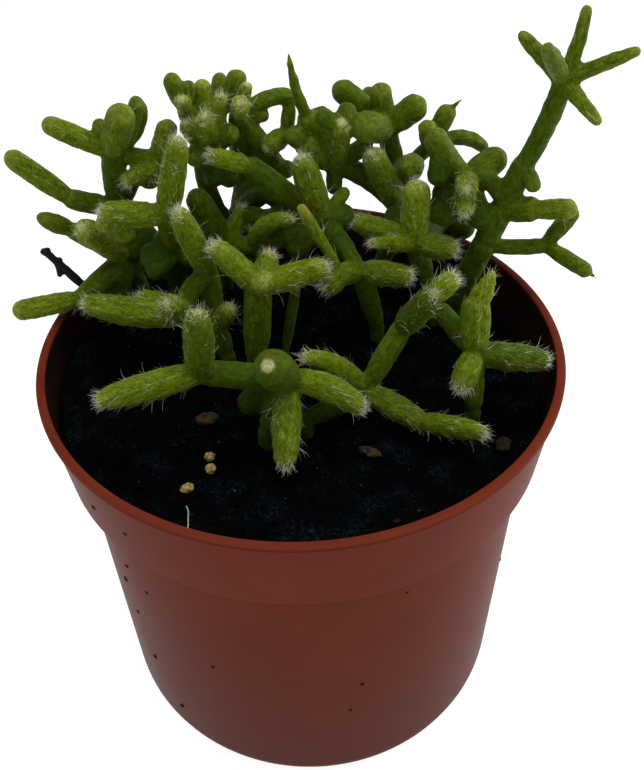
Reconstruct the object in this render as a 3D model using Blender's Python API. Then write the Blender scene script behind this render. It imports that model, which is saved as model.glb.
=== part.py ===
"""Mistletoe cactus: rooted cuttings in black peat, in an 85 mm terracotta-coloured nursery pot.

+Z is up, the origin is the middle of the pot's underside, and the plant's front faces -Y.
Lengths are written in millimetres and turned into metres by MM where a mesh is made.
"""
import math

import bmesh
import bpy
from mathutils import Vector

MM = 0.001

# Pot, driving sizes
POT_SIDES = 48
POT_HEIGHT = 74.0
LIP_RADIUS = 42.5
LIP_HEIGHT = 0.8
LIP_WIDTH = 1.4
LIP_ROUNDING = 0.2
COLLAR_TOP_RADIUS = 42.0
COLLAR_FOOT_RADIUS = 40.6
COLLAR_FOOT = 59.4
SHOULDER_DROP = 0.8
BODY_TOP_RADIUS = 38.3
BASE_RADIUS = 36.8
BASE_FILLET = 4.15
WALL = 0.9
FLOOR_TOP = 2.3
CENTRE_PAD_RADIUS = 12.0
FOOT_RING_RADIUS = 29.0
CHANNEL_RISE = 1.2
CHANNEL_SLOPE = 0.6
OUTER_FILLET_STEPS = 4
INNER_FILLET_STEPS = 2

# Drain holes in the raised channel of the floor
DRAIN_COUNT = 8
DRAIN_RADIUS = 1.8
DRAIN_CIRCLE = 21.0
DRAIN_SIDES = 12

# Peat
GAP = 0.3
SOIL_TOP = 65.0
SOIL_EDGE_DROP = 0.6
SOIL_RING_STEP = 5.0
RELIEF = 0.2

# Stems: a peg stands in the peat and rises above it, and the first segment starts on its top.
# A segment starts inside the one below it by JOINT_SINK of that one's width.
SIDES = 7
FACET_ALLOWANCE = 1.04
RING_TURN = 0.7
JOINT_SINK = 0.4
PEG_DEPTH = 6.5
PEG_RISE = 2.5
PEG_WIDTH = 0.75
HOLE_DEPTH = 7.0
HOLE_CLEARANCE = 0.4
HOLE_SIDES = 10

# Radius of a segment along its axis, as (share of the length, share of the half width).
# Every form ends in one point on the axis, at the full length.
BLUNT = ((0.0, 0.62), (0.15, 0.9), (0.6, 1.0), (0.92, 0.74))
CURVED = ((0.0, 0.62), (0.12, 0.88), (0.35, 1.0), (0.6, 1.0), (0.8, 0.95), (0.94, 0.68))
ARM = ((0.0, 1.1), (0.3, 1.0), (0.7, 0.85), (0.93, 0.6))
SPIKE = ((0.0, 1.0), (0.3, 0.95), (0.6, 0.8), (0.85, 0.5))
BUD = ((0.0, 0.8), (0.35, 1.0), (0.75, 0.6), (0.93, 0.25))
THORN = ((0.0, 1.0), (0.4, 0.7), (0.85, 0.25))
PEG = ((0.0, 1.0), (0.92, 1.0))
STICK = ((0.0, 1.0), (0.5, 0.9), (0.98, 0.85))

# Growth of each rooted cutting: its foot's x and y, then one row for each stem segment, as
# (place on the plant, heading in degrees from +X, rise in degrees, length, width).
# The place spells the way up from the soil: "142" is the second segment on the tip of the
# fourth segment on the tip of the first one.
SHOOTS = {
    "front_centre_shoot": ((-5.5, -14.5), (
        ("1", 30, 65, 11.5, 4.4), ("11", -110, 55, 12, 6.6), ("12", -95, -35, 13.5, 4.4),
        ("13", -20, -15, 12.5, 4.3), ("14", 175, 5, 15, 4.1), ("141", -160, 0, 16, 4.4),
        ("142", -65, 80, 13.5, 4.7), ("15", 160, -45, 11.5, 4.4),
    )),
    "front_right_shoot": ((0.5, -12.5), (
        ("1", 20, 15, 12, 3.6), ("11", 20, 60, 13.5, 3.5), ("111", -35, 60, 10, 4.3),
        ("1111", 20, 35, 5.5, 3.4), ("12", -35, -10, 11.5, 4), ("121", -30, 10, 11, 3.5),
        ("13", -175, 40, 13, 3.6),
    )),
    "right_shoot": ((27, -12), (
        ("1", 95, 75, 11.5, 3.4), ("11", 0, -10, 12, 4.3), ("12", 85, 60, 9, 4.7),
        ("121", 25, 65, 6.5, 3.5), ("13", -120, -30, 6.5, 4.1), ("14", 120, 20, 10, 3.2),
    )),
    "middle_left_shoot": ((-7.5, 2.5), (
        ("1", 5, 85, 17.5, 4.6), ("11", 175, 50, 10.5, 4.1), ("12", -5, 20, 12, 4.2),
        ("13", 50, 50, 6, 3.8), ("14", -70, 45, 5, 4),
    )),
    "left_inner_shoot": ((-12.5, 4.5), (
        ("1", 135, 60, 6.5, 3.8), ("11", 95, 80, 12, 3.8), ("111", -125, 70, 16, 4.2),
        ("112", -120, -20, 10, 3.4), ("1121", 165, 0, 17.5, 4.9), ("1122", -105, 50, 8.5, 4.3),
        ("1123", 150, 5, 9, 4), ("12", -50, 55, 9.5, 3.4),
    )),
    "left_back_shoot": ((-21.5, 19), (
        ("1", -80, 70, 18.5, 3.6), ("11", -90, 75, 10, 3.6), ("111", -10, 75, 14.5, 4.3),
        ("112", -165, 15, 11, 4.1), ("12", -130, -15, 6.5, 3.8), ("13", 5, -30, 5.5, 3.6),
        ("14", 160, 65, 4.5, 4.8), ("15", -155, 0, 6, 5),
    )),
    "left_tall_shoot": ((-28, 19.5), (
        ("1", -155, 80, 13.5, 3.8), ("11", -125, -10, 13, 4.2), ("111", -165, 0, 12, 3.6),
        ("12", -155, 45, 12.5, 3.4), ("121", -155, 40, 7, 3), ("13", -115, 50, 16, 4.4),
        ("14", 95, 85, 11, 4.2), ("141", -165, 25, 9.5, 3.3), ("1411", 180, 45, 12.5, 3.2),
        ("142", -15, 85, 12.5, 4.1), ("1421", -165, 35, 12, 3.5), ("1422", 180, 75, 6, 2.8),
        ("1423", -55, 55, 12, 4.7), ("1424", 25, 55, 10, 3.7), ("1425", 20, -25, 9, 3.2),
        ("14251", 20, 65, 7.5, 3.6), ("14252", -135, -10, 7.5, 3.2), ("15", 15, 40, 7.5, 5),
        ("16", 50, 50, 4.5, 4.4),
    )),
    "back_left_shoot": ((-13.5, 28.5), (
        ("1", -80, 75, 18.5, 3), ("11", -170, 85, 14, 3.4), ("111", 170, 65, 9, 3.4),
        ("1111", 170, 70, 6.5, 3.1), ("1112", -90, 40, 6, 2.6), ("112", 95, 75, 11.5, 3.3),
        ("113", 55, 60, 7, 3.4), ("1131", 30, 50, 8.5, 3.6), ("1132", 80, 45, 7.5, 2.8),
        ("114", -85, 55, 11, 4), ("115", -50, 65, 12.5, 3.3), ("116", -15, -40, 5.5, 3.6),
        ("117", -30, 40, 7.5, 3.4), ("118", -130, 55, 8.5, 4.2), ("119", -130, 0, 5, 3.8),
    )),
    "back_arch_shoot": ((-7, 28.5), (
        ("1", -145, 75, 17.5, 3), ("11", 35, 80, 11.5, 3.3), ("111", -70, 75, 11, 3.9),
        ("1111", 15, 10, 10, 2.9), ("11111", -120, -75, 7, 2.5), ("111111", -130, -5, 6, 3.6),
        ("1112", -55, 65, 7, 2.3), ("1113", -85, 35, 10, 3), ("1114", 0, -60, 13, 3.4),
        ("112", 35, 45, 5, 3.6), ("1121", -50, -25, 5, 4), ("12", 0, 55, 9, 3.8),
        ("13", -35, 40, 10.5, 3.8), ("131", -15, -25, 5, 3.6),
    )),
    "inner_back_shoot": ((-8.5, 22.5), (
        ("1", -120, 65, 17, 3.4), ("11", 30, 60, 8, 3.2), ("12", 170, 65, 12, 4.4),
        ("13", -30, 20, 6.5, 3.2), ("131", -25, 40, 11, 3),
    )),
    "middle_shoot": ((14, 10.5), (
        ("1", -150, 75, 15.5, 3.6), ("11", -150, 10, 5.5, 4), ("111", -140, -10, 4.5, 4.2),
        ("112", 160, 60, 14, 1.9), ("12", -25, 5, 9, 4.2), ("13", 135, 35, 12, 3.2),
        ("131", -155, 75, 13.5, 4.8), ("132", 30, 40, 7, 2.4), ("133", -170, -20, 7.5, 3.6),
        ("134", 170, 40, 16.5, 4), ("1341", -170, 25, 7.5, 3.3),
    )),
    "star_shoot": ((25, 14), (
        ("1", 175, 75, 9.5, 2.8), ("11", -175, 70, 9, 3.8), ("111", 85, 85, 11.5, 4.8),
        ("112", 170, 20, 11.5, 4.3), ("113", -150, 20, 10.5, 2.9), ("114", -30, 5, 8, 4.3),
        ("115", 55, -5, 11.5, 4.2), ("1151", -20, -10, 6.5, 4),
    )),
    "back_shoot": ((16.5, 30), (
        ("1", -65, 65, 18, 3.8), ("11", 115, 75, 8.5, 3.6), ("111", -175, 75, 11, 3.6),
        ("1111", 165, 40, 11.5, 4.3), ("1112", 120, 40, 8, 3), ("1113", -130, 75, 9, 3.8),
        ("1114", 5, 35, 8, 4.6), ("1115", -125, 25, 10, 5.2), ("112", -75, 40, 9.5, 4.6),
        ("113", -10, 50, 9, 2.6), ("1131", -110, 55, 7, 3.2), ("1132", 25, 60, 7.5, 3.4),
        ("11321", -5, 45, 3.5, 1.4), ("1133", 15, -15, 11.5, 2.7), ("12", -135, 60, 18.5, 4.5),
        ("13", 180, 40, 17.5, 3.8), ("131", -175, 65, 11.5, 4.3), ("1311", -150, 75, 12.5, 2.1),
        ("1312", 45, 0, 4.5, 2.4), ("132", -155, 45, 9, 4.2), ("133", -80, 60, 12.5, 3.9),
        ("134", -5, 35, 8, 3.2),
    )),
    "tall_shoot": ((28.5, 17), (
        ("1", -50, 70, 17.5, 4.3), ("11", 25, 65, 8.5, 4.3), ("111", 5, 70, 10, 4),
        ("1111", -20, 75, 16.5, 3.3), ("11111", 10, 80, 11, 2.4), ("11112", -25, 30, 11.5, 2.5),
        ("11113", -55, -30, 9, 2.4), ("11114", 160, 40, 9.5, 1.9), ("11115", -125, 40, 13.5, 3.2),
        ("1112", -70, -35, 5, 2.6), ("112", -30, 15, 6.5, 3.8), ("1121", -30, 15, 7, 2.9),
        ("113", 155, 35, 9, 3), ("1131", 25, 20, 8, 4.8), ("1132", 180, 55, 11, 4.2),
        ("1133", -100, 15, 7.5, 3.8), ("1134", -100, -15, 8.5, 3.4), ("1135", 175, -40, 6.5, 4.2),
        ("1136", -160, -60, 9, 4.2), ("1137", -55, -55, 9, 4), ("1138", -175, 35, 7.5, 3.4),
        ("1139", -65, -75, 7.5, 4.4), ("12", -5, 0, 12, 2.8), ("121", 10, 60, 6.5, 2.6),
        ("122", -40, -15, 8, 2.8), ("1221", -10, -35, 3, 1),
    )),
    "thin_shoot": ((-2.5, 5), (
        ("1", -5, 80, 14, 1.9),
    )),
}

# Segments that bow between their ends: the height of the bow as a share of the length
BOWS = {
    "front_centre_shoot": {"13": 0.12},
    "front_right_shoot": {"13": 0.1},
    "left_inner_shoot": {"112": 0.2, "1121": -0.03},
    "left_tall_shoot": {"1424": -0.14},
    "back_left_shoot": {"11": -0.12},
    "back_arch_shoot": {"11": -0.1, "1111": 0.1},
    "inner_back_shoot": {"131": 0.13},
    "back_shoot": {"13": 0.04, "1133": 0.17, "1311": -0.04},
    "tall_shoot": {"11111": -0.04, "12": -0.04, "113": 0.28, "1132": -0.06},
}

# Segments that taper: the slender arms of the top star, a spike, a bud and two thorny tips
TAPERS = {
    "right_shoot": {"121": BUD},
    "back_shoot": {"1311": SPIKE, "11321": THORN},
    "tall_shoot": {"11111": ARM, "11112": ARM, "11113": ARM, "11114": ARM, "1221": THORN},
}

# Dead dry stick in the left of the pot, with the stub of a side twig near its broken end
TWIG_FOOT = (-30.7, 14.0)
TWIG_PEG_WIDTH = 2.0
TWIG_ROWS = (("1", 180, 55, 21, 1.7), ("2", 180, 55, 18, 1.9), ("21", -90, -75, 2.6, 1.2))

# Loose grains on the peat: x, y, half sizes along x, y and z, turn in degrees.
# Each one rests on a flat cut across its lower part.
GRAIN_LUMPS = 0.12
GRAIN_FLAT = 0.75
GRAINS = {
    "bark_chip_left": (-15.6, -9.2, 1.9, 1.3, 0.8, 15),
    "pumice_grain_back": (-14.7, -17.4, 0.85, 0.8, 0.75, 40),
    "pumice_grain_middle": (-14.4, -20.0, 0.95, 0.85, 0.7, 80),
    "pumice_grain_front": (-17.7, -23.8, 1.1, 0.8, 0.7, 20),
    "bark_chip_front": (10.0, -18.1, 2.0, 0.9, 0.6, -25),
    "bark_chip_right": (30.9, -17.6, 1.5, 1.2, 0.8, 50),
}

PEAT_COLOUR = (0.006, 0.006, 0.006)
POT_COLOUR = (0.17, 0.04, 0.022)
SHOOT_COLOUR = (0.09, 0.16, 0.015)
TWIG_COLOUR = (0.02, 0.018, 0.015)
GRAIN_COLOUR = (0.3, 0.2, 0.1)


def clear_scene():
    """Remove every object and mesh that the file opened with."""
    for thing in list(bpy.data.objects):
        bpy.data.objects.remove(thing)
    for mesh in list(bpy.data.meshes):
        bpy.data.meshes.remove(mesh)


def plain_material(name, colour, roughness):
    """One Principled material, named after its piece."""
    material = bpy.data.materials.new(name)
    material.use_nodes = True
    shader = material.node_tree.nodes["Principled BSDF"]
    shader.inputs["Base Color"].default_value = (*colour, 1.0)
    shader.inputs["Roughness"].default_value = roughness
    shader.inputs["Metallic"].default_value = 0.0
    return material


def object_from_bmesh(form, name, material, collection):
    """Turn a bmesh in millimetres into an object in metres, with its faces pointing out."""
    bmesh.ops.recalc_face_normals(form, faces=form.faces)
    bmesh.ops.scale(form, vec=(MM, MM, MM), verts=form.verts)
    mesh = bpy.data.meshes.new(name)
    form.to_mesh(mesh)
    form.free()
    mesh.materials.append(material)
    thing = bpy.data.objects.new(name, mesh)
    collection.objects.link(thing)
    return thing


def shade(thing, degrees):
    """Smooth shading, with edges sharper than the angle kept crisp."""
    thing.data.shade_smooth()
    thing.data.set_sharp_from_angle(angle=math.radians(degrees))


def turned(profile):
    """Spin an outline of (radius, height) points, from the axis back to the axis, round +Z."""
    form = bmesh.new()
    points = [form.verts.new((radius, 0.0, height)) for radius, height in profile]
    edges = [form.edges.new(pair) for pair in zip(points[:-1], points[1:])]
    bmesh.ops.spin(form, geom=points + edges, cent=(0, 0, 0), axis=(0, 0, 1),
                   angle=2 * math.pi, steps=POT_SIDES, use_merge=True)
    bmesh.ops.remove_doubles(form, verts=form.verts, dist=0.0001)
    return form


def fillet(radius, height, size, steps):
    """Round the corner between a floor at the given height and a wall at the given radius."""
    arc = []
    for step in range(steps + 1):
        angle = math.radians(90 * step / steps)
        arc.append((radius - size + size * math.sin(angle), height + size - size * math.cos(angle)))
    return arc


def wall_cutter(name, x, y, radius, bottom, top, sides, collection):
    """A closed vertical cylinder that cuts one hole and isn't part of the model."""
    form = bmesh.new()
    bmesh.ops.create_cone(form, cap_ends=True, segments=sides, radius1=radius, radius2=radius,
                          depth=top - bottom)
    bmesh.ops.translate(form, vec=(x, y, (top + bottom) / 2), verts=form.verts)
    cutter = object_from_bmesh(form, name, bpy.data.materials["cutter"], collection)
    cutter.hide_render = True
    cutter.display_type = "WIRE"
    return cutter


def join_or_cut(thing, collection, operation):
    """Apply one Boolean between the object and a whole collection, then clear the collection."""
    boolean = thing.modifiers.new("boolean", "BOOLEAN")
    boolean.operation = operation
    boolean.operand_type = "COLLECTION"
    boolean.collection = collection
    boolean.solver = "EXACT"
    seen = thing.evaluated_get(bpy.context.evaluated_depsgraph_get())
    result = bpy.data.meshes.new_from_object(seen)
    thing.modifiers.clear()
    thing.data = result
    for other in list(collection.objects):
        bpy.data.objects.remove(other)
    bpy.data.collections.remove(collection)


def new_collection(name):
    """A collection of working pieces, linked so that Blender evaluates them."""
    collection = bpy.data.collections.new(name)
    bpy.context.scene.collection.children.link(collection)
    return collection


def inner_collar_radius(height):
    """Radius of the inside of the collar at a height."""
    share = (height - COLLAR_FOOT) / (POT_HEIGHT - COLLAR_FOOT)
    top = LIP_RADIUS - LIP_WIDTH
    return top + (COLLAR_FOOT_RADIUS - WALL - top) * (1 - share)


def pot_outline():
    """Section of the pot, from the middle of its underside, round the lip, to its floor."""
    underside = [
        (0.0, 0.0),
        (CENTRE_PAD_RADIUS, 0.0),
        (CENTRE_PAD_RADIUS + CHANNEL_SLOPE, CHANNEL_RISE),
        (FOOT_RING_RADIUS - CHANNEL_SLOPE, CHANNEL_RISE),
        (FOOT_RING_RADIUS, 0.0),
    ]
    outside = [
        (BODY_TOP_RADIUS, COLLAR_FOOT - SHOULDER_DROP),
        (COLLAR_FOOT_RADIUS, COLLAR_FOOT),
        (COLLAR_TOP_RADIUS, POT_HEIGHT - LIP_HEIGHT),
        (LIP_RADIUS, POT_HEIGHT - LIP_HEIGHT + LIP_ROUNDING),
        (LIP_RADIUS, POT_HEIGHT - LIP_ROUNDING),
        (LIP_RADIUS - LIP_ROUNDING, POT_HEIGHT),
        (LIP_RADIUS - LIP_WIDTH + LIP_ROUNDING, POT_HEIGHT),
        (LIP_RADIUS - LIP_WIDTH, POT_HEIGHT - LIP_ROUNDING),
    ]
    inside = [
        (inner_collar_radius(COLLAR_FOOT + WALL), COLLAR_FOOT + WALL),
        (BODY_TOP_RADIUS - WALL, COLLAR_FOOT - SHOULDER_DROP + WALL / 2),
    ]
    inside += reversed(fillet(BASE_RADIUS - WALL, FLOOR_TOP, BASE_FILLET - WALL, INNER_FILLET_STEPS))
    inside += [(0.0, FLOOR_TOP)]
    return underside + fillet(BASE_RADIUS, 0.0, BASE_FILLET, OUTER_FILLET_STEPS) + outside + inside


def make_pot(home):
    """Thin moulded pot with a collar, a small lip and drain holes in its raised channel."""
    material = plain_material("pot", POT_COLOUR, 0.5)
    pot = object_from_bmesh(turned(pot_outline()), "pot", material, home)
    cutters = new_collection("drain_cutters")
    for index in range(DRAIN_COUNT):
        angle = 2 * math.pi * (index + 0.5) / DRAIN_COUNT
        wall_cutter("drain_cutter", DRAIN_CIRCLE * math.cos(angle), DRAIN_CIRCLE * math.sin(angle),
                    DRAIN_RADIUS, -1.0, FLOOR_TOP + 1.0, DRAIN_SIDES, cutters)
    join_or_cut(pot, cutters, "DIFFERENCE")
    shade(pot, 35)


def soil_height(x, y):
    """Height of the uneven top of the peat."""
    waves = math.sin(0.42 * x + 0.9) * math.cos(0.5 * y) + 0.7 * math.sin(0.55 * x - 0.47 * y)
    return SOIL_TOP + RELIEF * waves


def soil_outline():
    """Section of the peat, a gap inside the pot, with rings across its top for the relief."""
    edge = inner_collar_radius(SOIL_TOP) - GAP
    outline = [(0.0, FLOOR_TOP + GAP)]
    outline += fillet(BASE_RADIUS - WALL - GAP, FLOOR_TOP + GAP, BASE_FILLET - WALL,
                      INNER_FILLET_STEPS)
    outline += [
        (BODY_TOP_RADIUS - WALL - GAP, COLLAR_FOOT - SHOULDER_DROP + WALL / 2 + GAP),
        (inner_collar_radius(COLLAR_FOOT + WALL) - GAP, COLLAR_FOOT + WALL + GAP),
        (edge, SOIL_TOP - SOIL_EDGE_DROP),
    ]
    radius = edge - 2 * SOIL_EDGE_DROP
    while radius > SOIL_RING_STEP / 2:
        outline.append((radius, SOIL_TOP))
        radius -= SOIL_RING_STEP
    return outline + [(0.0, SOIL_TOP)]


def make_soil(home, feet):
    """Peat fill with an uneven top and a plain hole for every stem that stands in it."""
    form = turned(soil_outline())
    for vert in form.verts:
        if vert.co.z > SOIL_TOP - SOIL_EDGE_DROP / 2:
            vert.co.z = soil_height(vert.co.x, vert.co.y)
    material = plain_material("soil", PEAT_COLOUR, 0.95)
    soil = object_from_bmesh(form, "soil", material, home)
    cutters = new_collection("stem_hole_cutters")
    for x, y, width in feet:
        wall_cutter("stem_hole_cutter", x, y, width * PEG_WIDTH / 2 + HOLE_CLEARANCE,
                    SOIL_TOP - HOLE_DEPTH, SOIL_TOP + 2.0, HOLE_SIDES, cutters)
    join_or_cut(soil, cutters, "DIFFERENCE")
    shade(soil, 40)


def way(heading, rise):
    """Unit vector along a heading and a rise, and the unit vector square to it, upwards."""
    heading = math.radians(heading)
    rise = math.radians(rise)
    level = Vector((math.cos(heading), math.sin(heading), 0.0))
    up = Vector((0.0, 0.0, 1.0))
    along = level * math.cos(rise) + up * math.sin(rise)
    return along, up * math.cos(rise) - level * math.sin(rise)


def segment_form(start, along, lift, length, width, bow, form_rings, turn):
    """One closed stem segment: rings of points round a bowed axis, ending in a point."""
    form = bmesh.new()
    side = along.cross(lift)
    rings = []
    for share, swell in form_rings:
        centre = start + along * (length * share) + lift * (4 * share * (1 - share) * bow * length)
        slope = 4 * (1 - 2 * share) * bow
        outward = (lift - along * slope).normalized()
        radius = width / 2 * swell * FACET_ALLOWANCE
        ring = []
        for index in range(SIDES):
            angle = turn + 2 * math.pi * index / SIDES
            offset = side * math.cos(angle) + outward * math.sin(angle)
            ring.append(form.verts.new(centre + offset * radius))
        rings.append(ring)
    for lower, upper in zip(rings[:-1], rings[1:]):
        for index in range(SIDES):
            after = (index + 1) % SIDES
            form.faces.new((lower[index], lower[after], upper[after], upper[index]))
    form.faces.new(reversed(rings[0]))
    tip = form.verts.new(start + along * length)
    for index in range(SIDES):
        form.faces.new((rings[-1][index], rings[-1][(index + 1) % SIDES], tip))
    return form


def make_growth(name, foot, peg_width, peg_top, rows, material, home):
    """A peg in the peat and the segments that grow from its top, joined into one solid.

    Each row is a place, heading, rise, length, width, bow and form.
    """
    base = Vector((foot[0], foot[1], SOIL_TOP - PEG_DEPTH))
    along, lift = way(0, 90)
    form = segment_form(base, along, lift, peg_top - base.z, peg_width, 0.0, PEG, 0.0)
    growth = object_from_bmesh(form, name, material, home)
    pieces = new_collection(name + "_pieces")
    joints = {"": Vector((foot[0], foot[1], SOIL_TOP + PEG_RISE))}
    for order, (place, heading, rise, length, width, bow, rings) in enumerate(rows):
        start = joints[place[:-1]]
        along, lift = way(heading, rise)
        form = segment_form(start, along, lift, length, width, bow, rings, RING_TURN * (order + 1))
        object_from_bmesh(form, name + "_" + place, material, pieces)
        joints[place] = start + along * (length - JOINT_SINK * width)
    join_or_cut(growth, pieces, "UNION")
    return growth


def make_shoot(name, foot, rows, home):
    """One rooted cutting: its rows of the growth table with their bows and forms."""
    bows = BOWS.get(name, {})
    tapers = TAPERS.get(name, {})
    full_rows = []
    for place, heading, rise, length, width in rows:
        bow = bows.get(place, 0.0)
        rings = tapers.get(place, CURVED if bow else BLUNT)
        full_rows.append((place, heading, rise, length, width, bow, rings))
    material = plain_material(name, SHOOT_COLOUR, 0.5)
    stem_width = rows[0][4]
    peg_top = SOIL_TOP + PEG_RISE + 0.3 * stem_width
    shoot = make_growth(name, foot, stem_width * PEG_WIDTH, peg_top, full_rows, material, home)
    shade(shoot, 60)


def make_twig(home):
    """Dead stick: a straight stem leaning out to the left and the stub of a side twig."""
    material = plain_material("dead_twig", TWIG_COLOUR, 0.85)
    full_rows = [(*row, 0.0, STICK) for row in TWIG_ROWS]
    twig = make_growth("dead_twig", TWIG_FOOT, TWIG_PEG_WIDTH * PEG_WIDTH,
                       SOIL_TOP + PEG_RISE + 0.3 * TWIG_PEG_WIDTH, full_rows, material, home)
    shade(twig, 50)


def make_grain(name, x, y, half_x, half_y, half_z, turn, home):
    """One loose grain resting on the peat, a squashed and turned round stone."""
    form = bmesh.new()
    bmesh.ops.create_icosphere(form, subdivisions=2, radius=1.0)
    cosine = math.cos(math.radians(turn))
    sine = math.sin(math.radians(turn))
    floor = max(soil_height(x + dx, y + dy) for dx in (-1, 0, 1) for dy in (-1, 0, 1))
    for vert in form.verts:
        lump = 1 + GRAIN_LUMPS * math.sin(5 * vert.co.x + 3 * vert.co.y + x) * math.cos(4 * vert.co.z)
        across = vert.co.x * half_x * lump
        deep = vert.co.y * half_y * lump
        high = (max(vert.co.z, -GRAIN_FLAT) + GRAIN_FLAT) * half_z
        vert.co = (x + across * cosine - deep * sine, y + across * sine + deep * cosine,
                   floor + GAP + high)
    material = plain_material(name, GRAIN_COLOUR, 0.9)
    grain = object_from_bmesh(form, name, material, home)
    shade(grain, 50)


clear_scene()
model = bpy.context.scene.collection
plain_material("cutter", (0.5, 0.5, 0.5), 0.5)
make_pot(model)
stem_feet = [(*foot, rows[0][4]) for foot, rows in SHOOTS.values()]
make_soil(model, stem_feet + [(*TWIG_FOOT, TWIG_PEG_WIDTH)])
for shoot_name, (shoot_foot, shoot_rows) in SHOOTS.items():
    make_shoot(shoot_name, shoot_foot, shoot_rows, model)
make_twig(model)
for grain_name, grain_sizes in GRAINS.items():
    make_grain(grain_name, *grain_sizes, model)
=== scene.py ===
"""Mistletoe cactus in a terracotta-coloured nursery pot, finished to look like the photograph.

+Z is up, the origin is the middle of the pot's underside, and the plant's front faces -Y.
Lengths are written in millimetres and turned into metres by MM.
"""

import math

import bmesh
import bpy
import numpy as np
from mathutils import Matrix, Vector, noise


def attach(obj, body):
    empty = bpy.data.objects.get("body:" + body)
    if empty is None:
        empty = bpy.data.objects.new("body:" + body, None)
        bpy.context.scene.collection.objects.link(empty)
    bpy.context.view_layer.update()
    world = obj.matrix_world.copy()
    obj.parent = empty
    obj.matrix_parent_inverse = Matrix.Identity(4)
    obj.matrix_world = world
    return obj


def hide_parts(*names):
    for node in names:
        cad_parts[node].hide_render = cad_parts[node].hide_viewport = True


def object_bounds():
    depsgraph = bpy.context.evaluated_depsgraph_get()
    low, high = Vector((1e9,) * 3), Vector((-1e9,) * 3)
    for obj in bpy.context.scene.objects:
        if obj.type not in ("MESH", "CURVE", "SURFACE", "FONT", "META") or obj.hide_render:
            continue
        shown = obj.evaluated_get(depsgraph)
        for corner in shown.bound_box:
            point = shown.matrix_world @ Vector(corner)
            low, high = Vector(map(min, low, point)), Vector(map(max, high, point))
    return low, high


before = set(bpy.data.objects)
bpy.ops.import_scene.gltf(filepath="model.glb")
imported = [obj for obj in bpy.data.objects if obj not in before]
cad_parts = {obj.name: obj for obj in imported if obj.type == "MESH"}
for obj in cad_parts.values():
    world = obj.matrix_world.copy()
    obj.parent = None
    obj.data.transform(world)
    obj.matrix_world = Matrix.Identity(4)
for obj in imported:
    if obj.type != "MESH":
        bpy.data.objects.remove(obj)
cad_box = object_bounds()
scene = bpy.context.scene
MM = 0.001


# ---- The view --------------------------------------------------------------------------------
# The plant is seen from the front and from above the rim, close to it, so that the pot narrows
# strongly downwards. The camera is rolled a little to the right.
CAMERA_DIP = 39.09
CAMERA_ROLL = 2.54
CAMERA_DISTANCE = 145.3
CAMERA_AIM = Vector((0.0, 0.0, 74.0))
LENS_LENGTH = 41.35
LENS_SHIFT = (0.0297, -0.0599)


def linked(name, data):
    """A new object in the scene, at the origin."""
    thing = bpy.data.objects.new(name, data)
    scene.collection.objects.link(thing)
    return thing


dip = math.radians(CAMERA_DIP)
roll = math.radians(CAMERA_ROLL)
forward = Vector((0.0, math.cos(dip), -math.sin(dip)))
upward = Vector((0.0, math.sin(dip), math.cos(dip)))
right = Vector((1.0, 0.0, 0.0))
camera_x = right * math.cos(roll) - upward * math.sin(roll)
camera_y = right * math.sin(roll) + upward * math.cos(roll)
camera_place = Matrix((camera_x, camera_y, -forward)).transposed().to_4x4()
camera_place.translation = (CAMERA_AIM - forward * CAMERA_DISTANCE) * MM

lens = bpy.data.cameras.new("camera")
lens.sensor_width = 36.0
lens.lens = LENS_LENGTH
lens.shift_x, lens.shift_y = LENS_SHIFT
lens.clip_start = 0.005
camera = linked("camera", lens)
camera.matrix_world = camera_place
scene.camera = camera


# ---- Pot -------------------------------------------------------------------------------------
# An 85 mm nursery pot, injection moulded in one piece from reddish polypropylene. A tapered
# body carries a wide collar with a thin lip, and the floor has a raised channel with drain holes.
POT_SIDES = 192
POT_HEIGHT = 74.0
LIP_RADIUS = 42.5
LIP_HEIGHT = 0.8
LIP_WIDTH = 1.4
LIP_ROUNDING = 0.25
LIP_BEVEL = 0.07
LIP_GROOVE = 0.25
COLLAR_TOP_RADIUS = 42.0
COLLAR_FOOT_RADIUS = 40.6
COLLAR_FOOT = 59.4
SHOULDER_DROP = 0.8
BODY_TOP_RADIUS = 38.3
BASE_RADIUS = 36.8
BASE_FILLET = 4.15
WALL = 0.9
FLOOR_TOP = 2.3
CENTRE_PAD_RADIUS = 12.0
FOOT_RING_RADIUS = 29.0
CHANNEL_RISE = 1.2
CHANNEL_SLOPE = 0.6
DRAIN_COUNT = 8
DRAIN_RADIUS = 1.8
DRAIN_CIRCLE = 21.0
DRILL_MIDDLE = 2.0
DRILL_DEPTH = 6.0
SHARP_POT_EDGE = math.radians(28)
# Inside faces up to here, and level ones below the second height, are darkened: painted shade
# inside the pot.
LINING_TOP = POT_HEIGHT - 0.2
LINED_FLOOR_BELOW = 10.0


def mesh_object(name, points, faces):
    """A new object from points in millimetres, with its place in its mesh."""
    mesh = bpy.data.meshes.new(name)
    mesh.from_pydata([tuple(MM * part for part in point) for point in points], [], faces)
    return linked(name, mesh)


def form_object(name, form):
    """A new object from a bmesh in metres, which is freed."""
    mesh = bpy.data.meshes.new(name)
    form.to_mesh(mesh)
    form.free()
    return linked(name, mesh)


def finished(thing):
    """The object with its modifiers turned into plain mesh."""
    seen = thing.evaluated_get(bpy.context.evaluated_depsgraph_get())
    mesh = bpy.data.meshes.new_from_object(seen)
    thing.modifiers.clear()
    thing.data = mesh
    mesh.name = thing.name
    return thing


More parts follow.
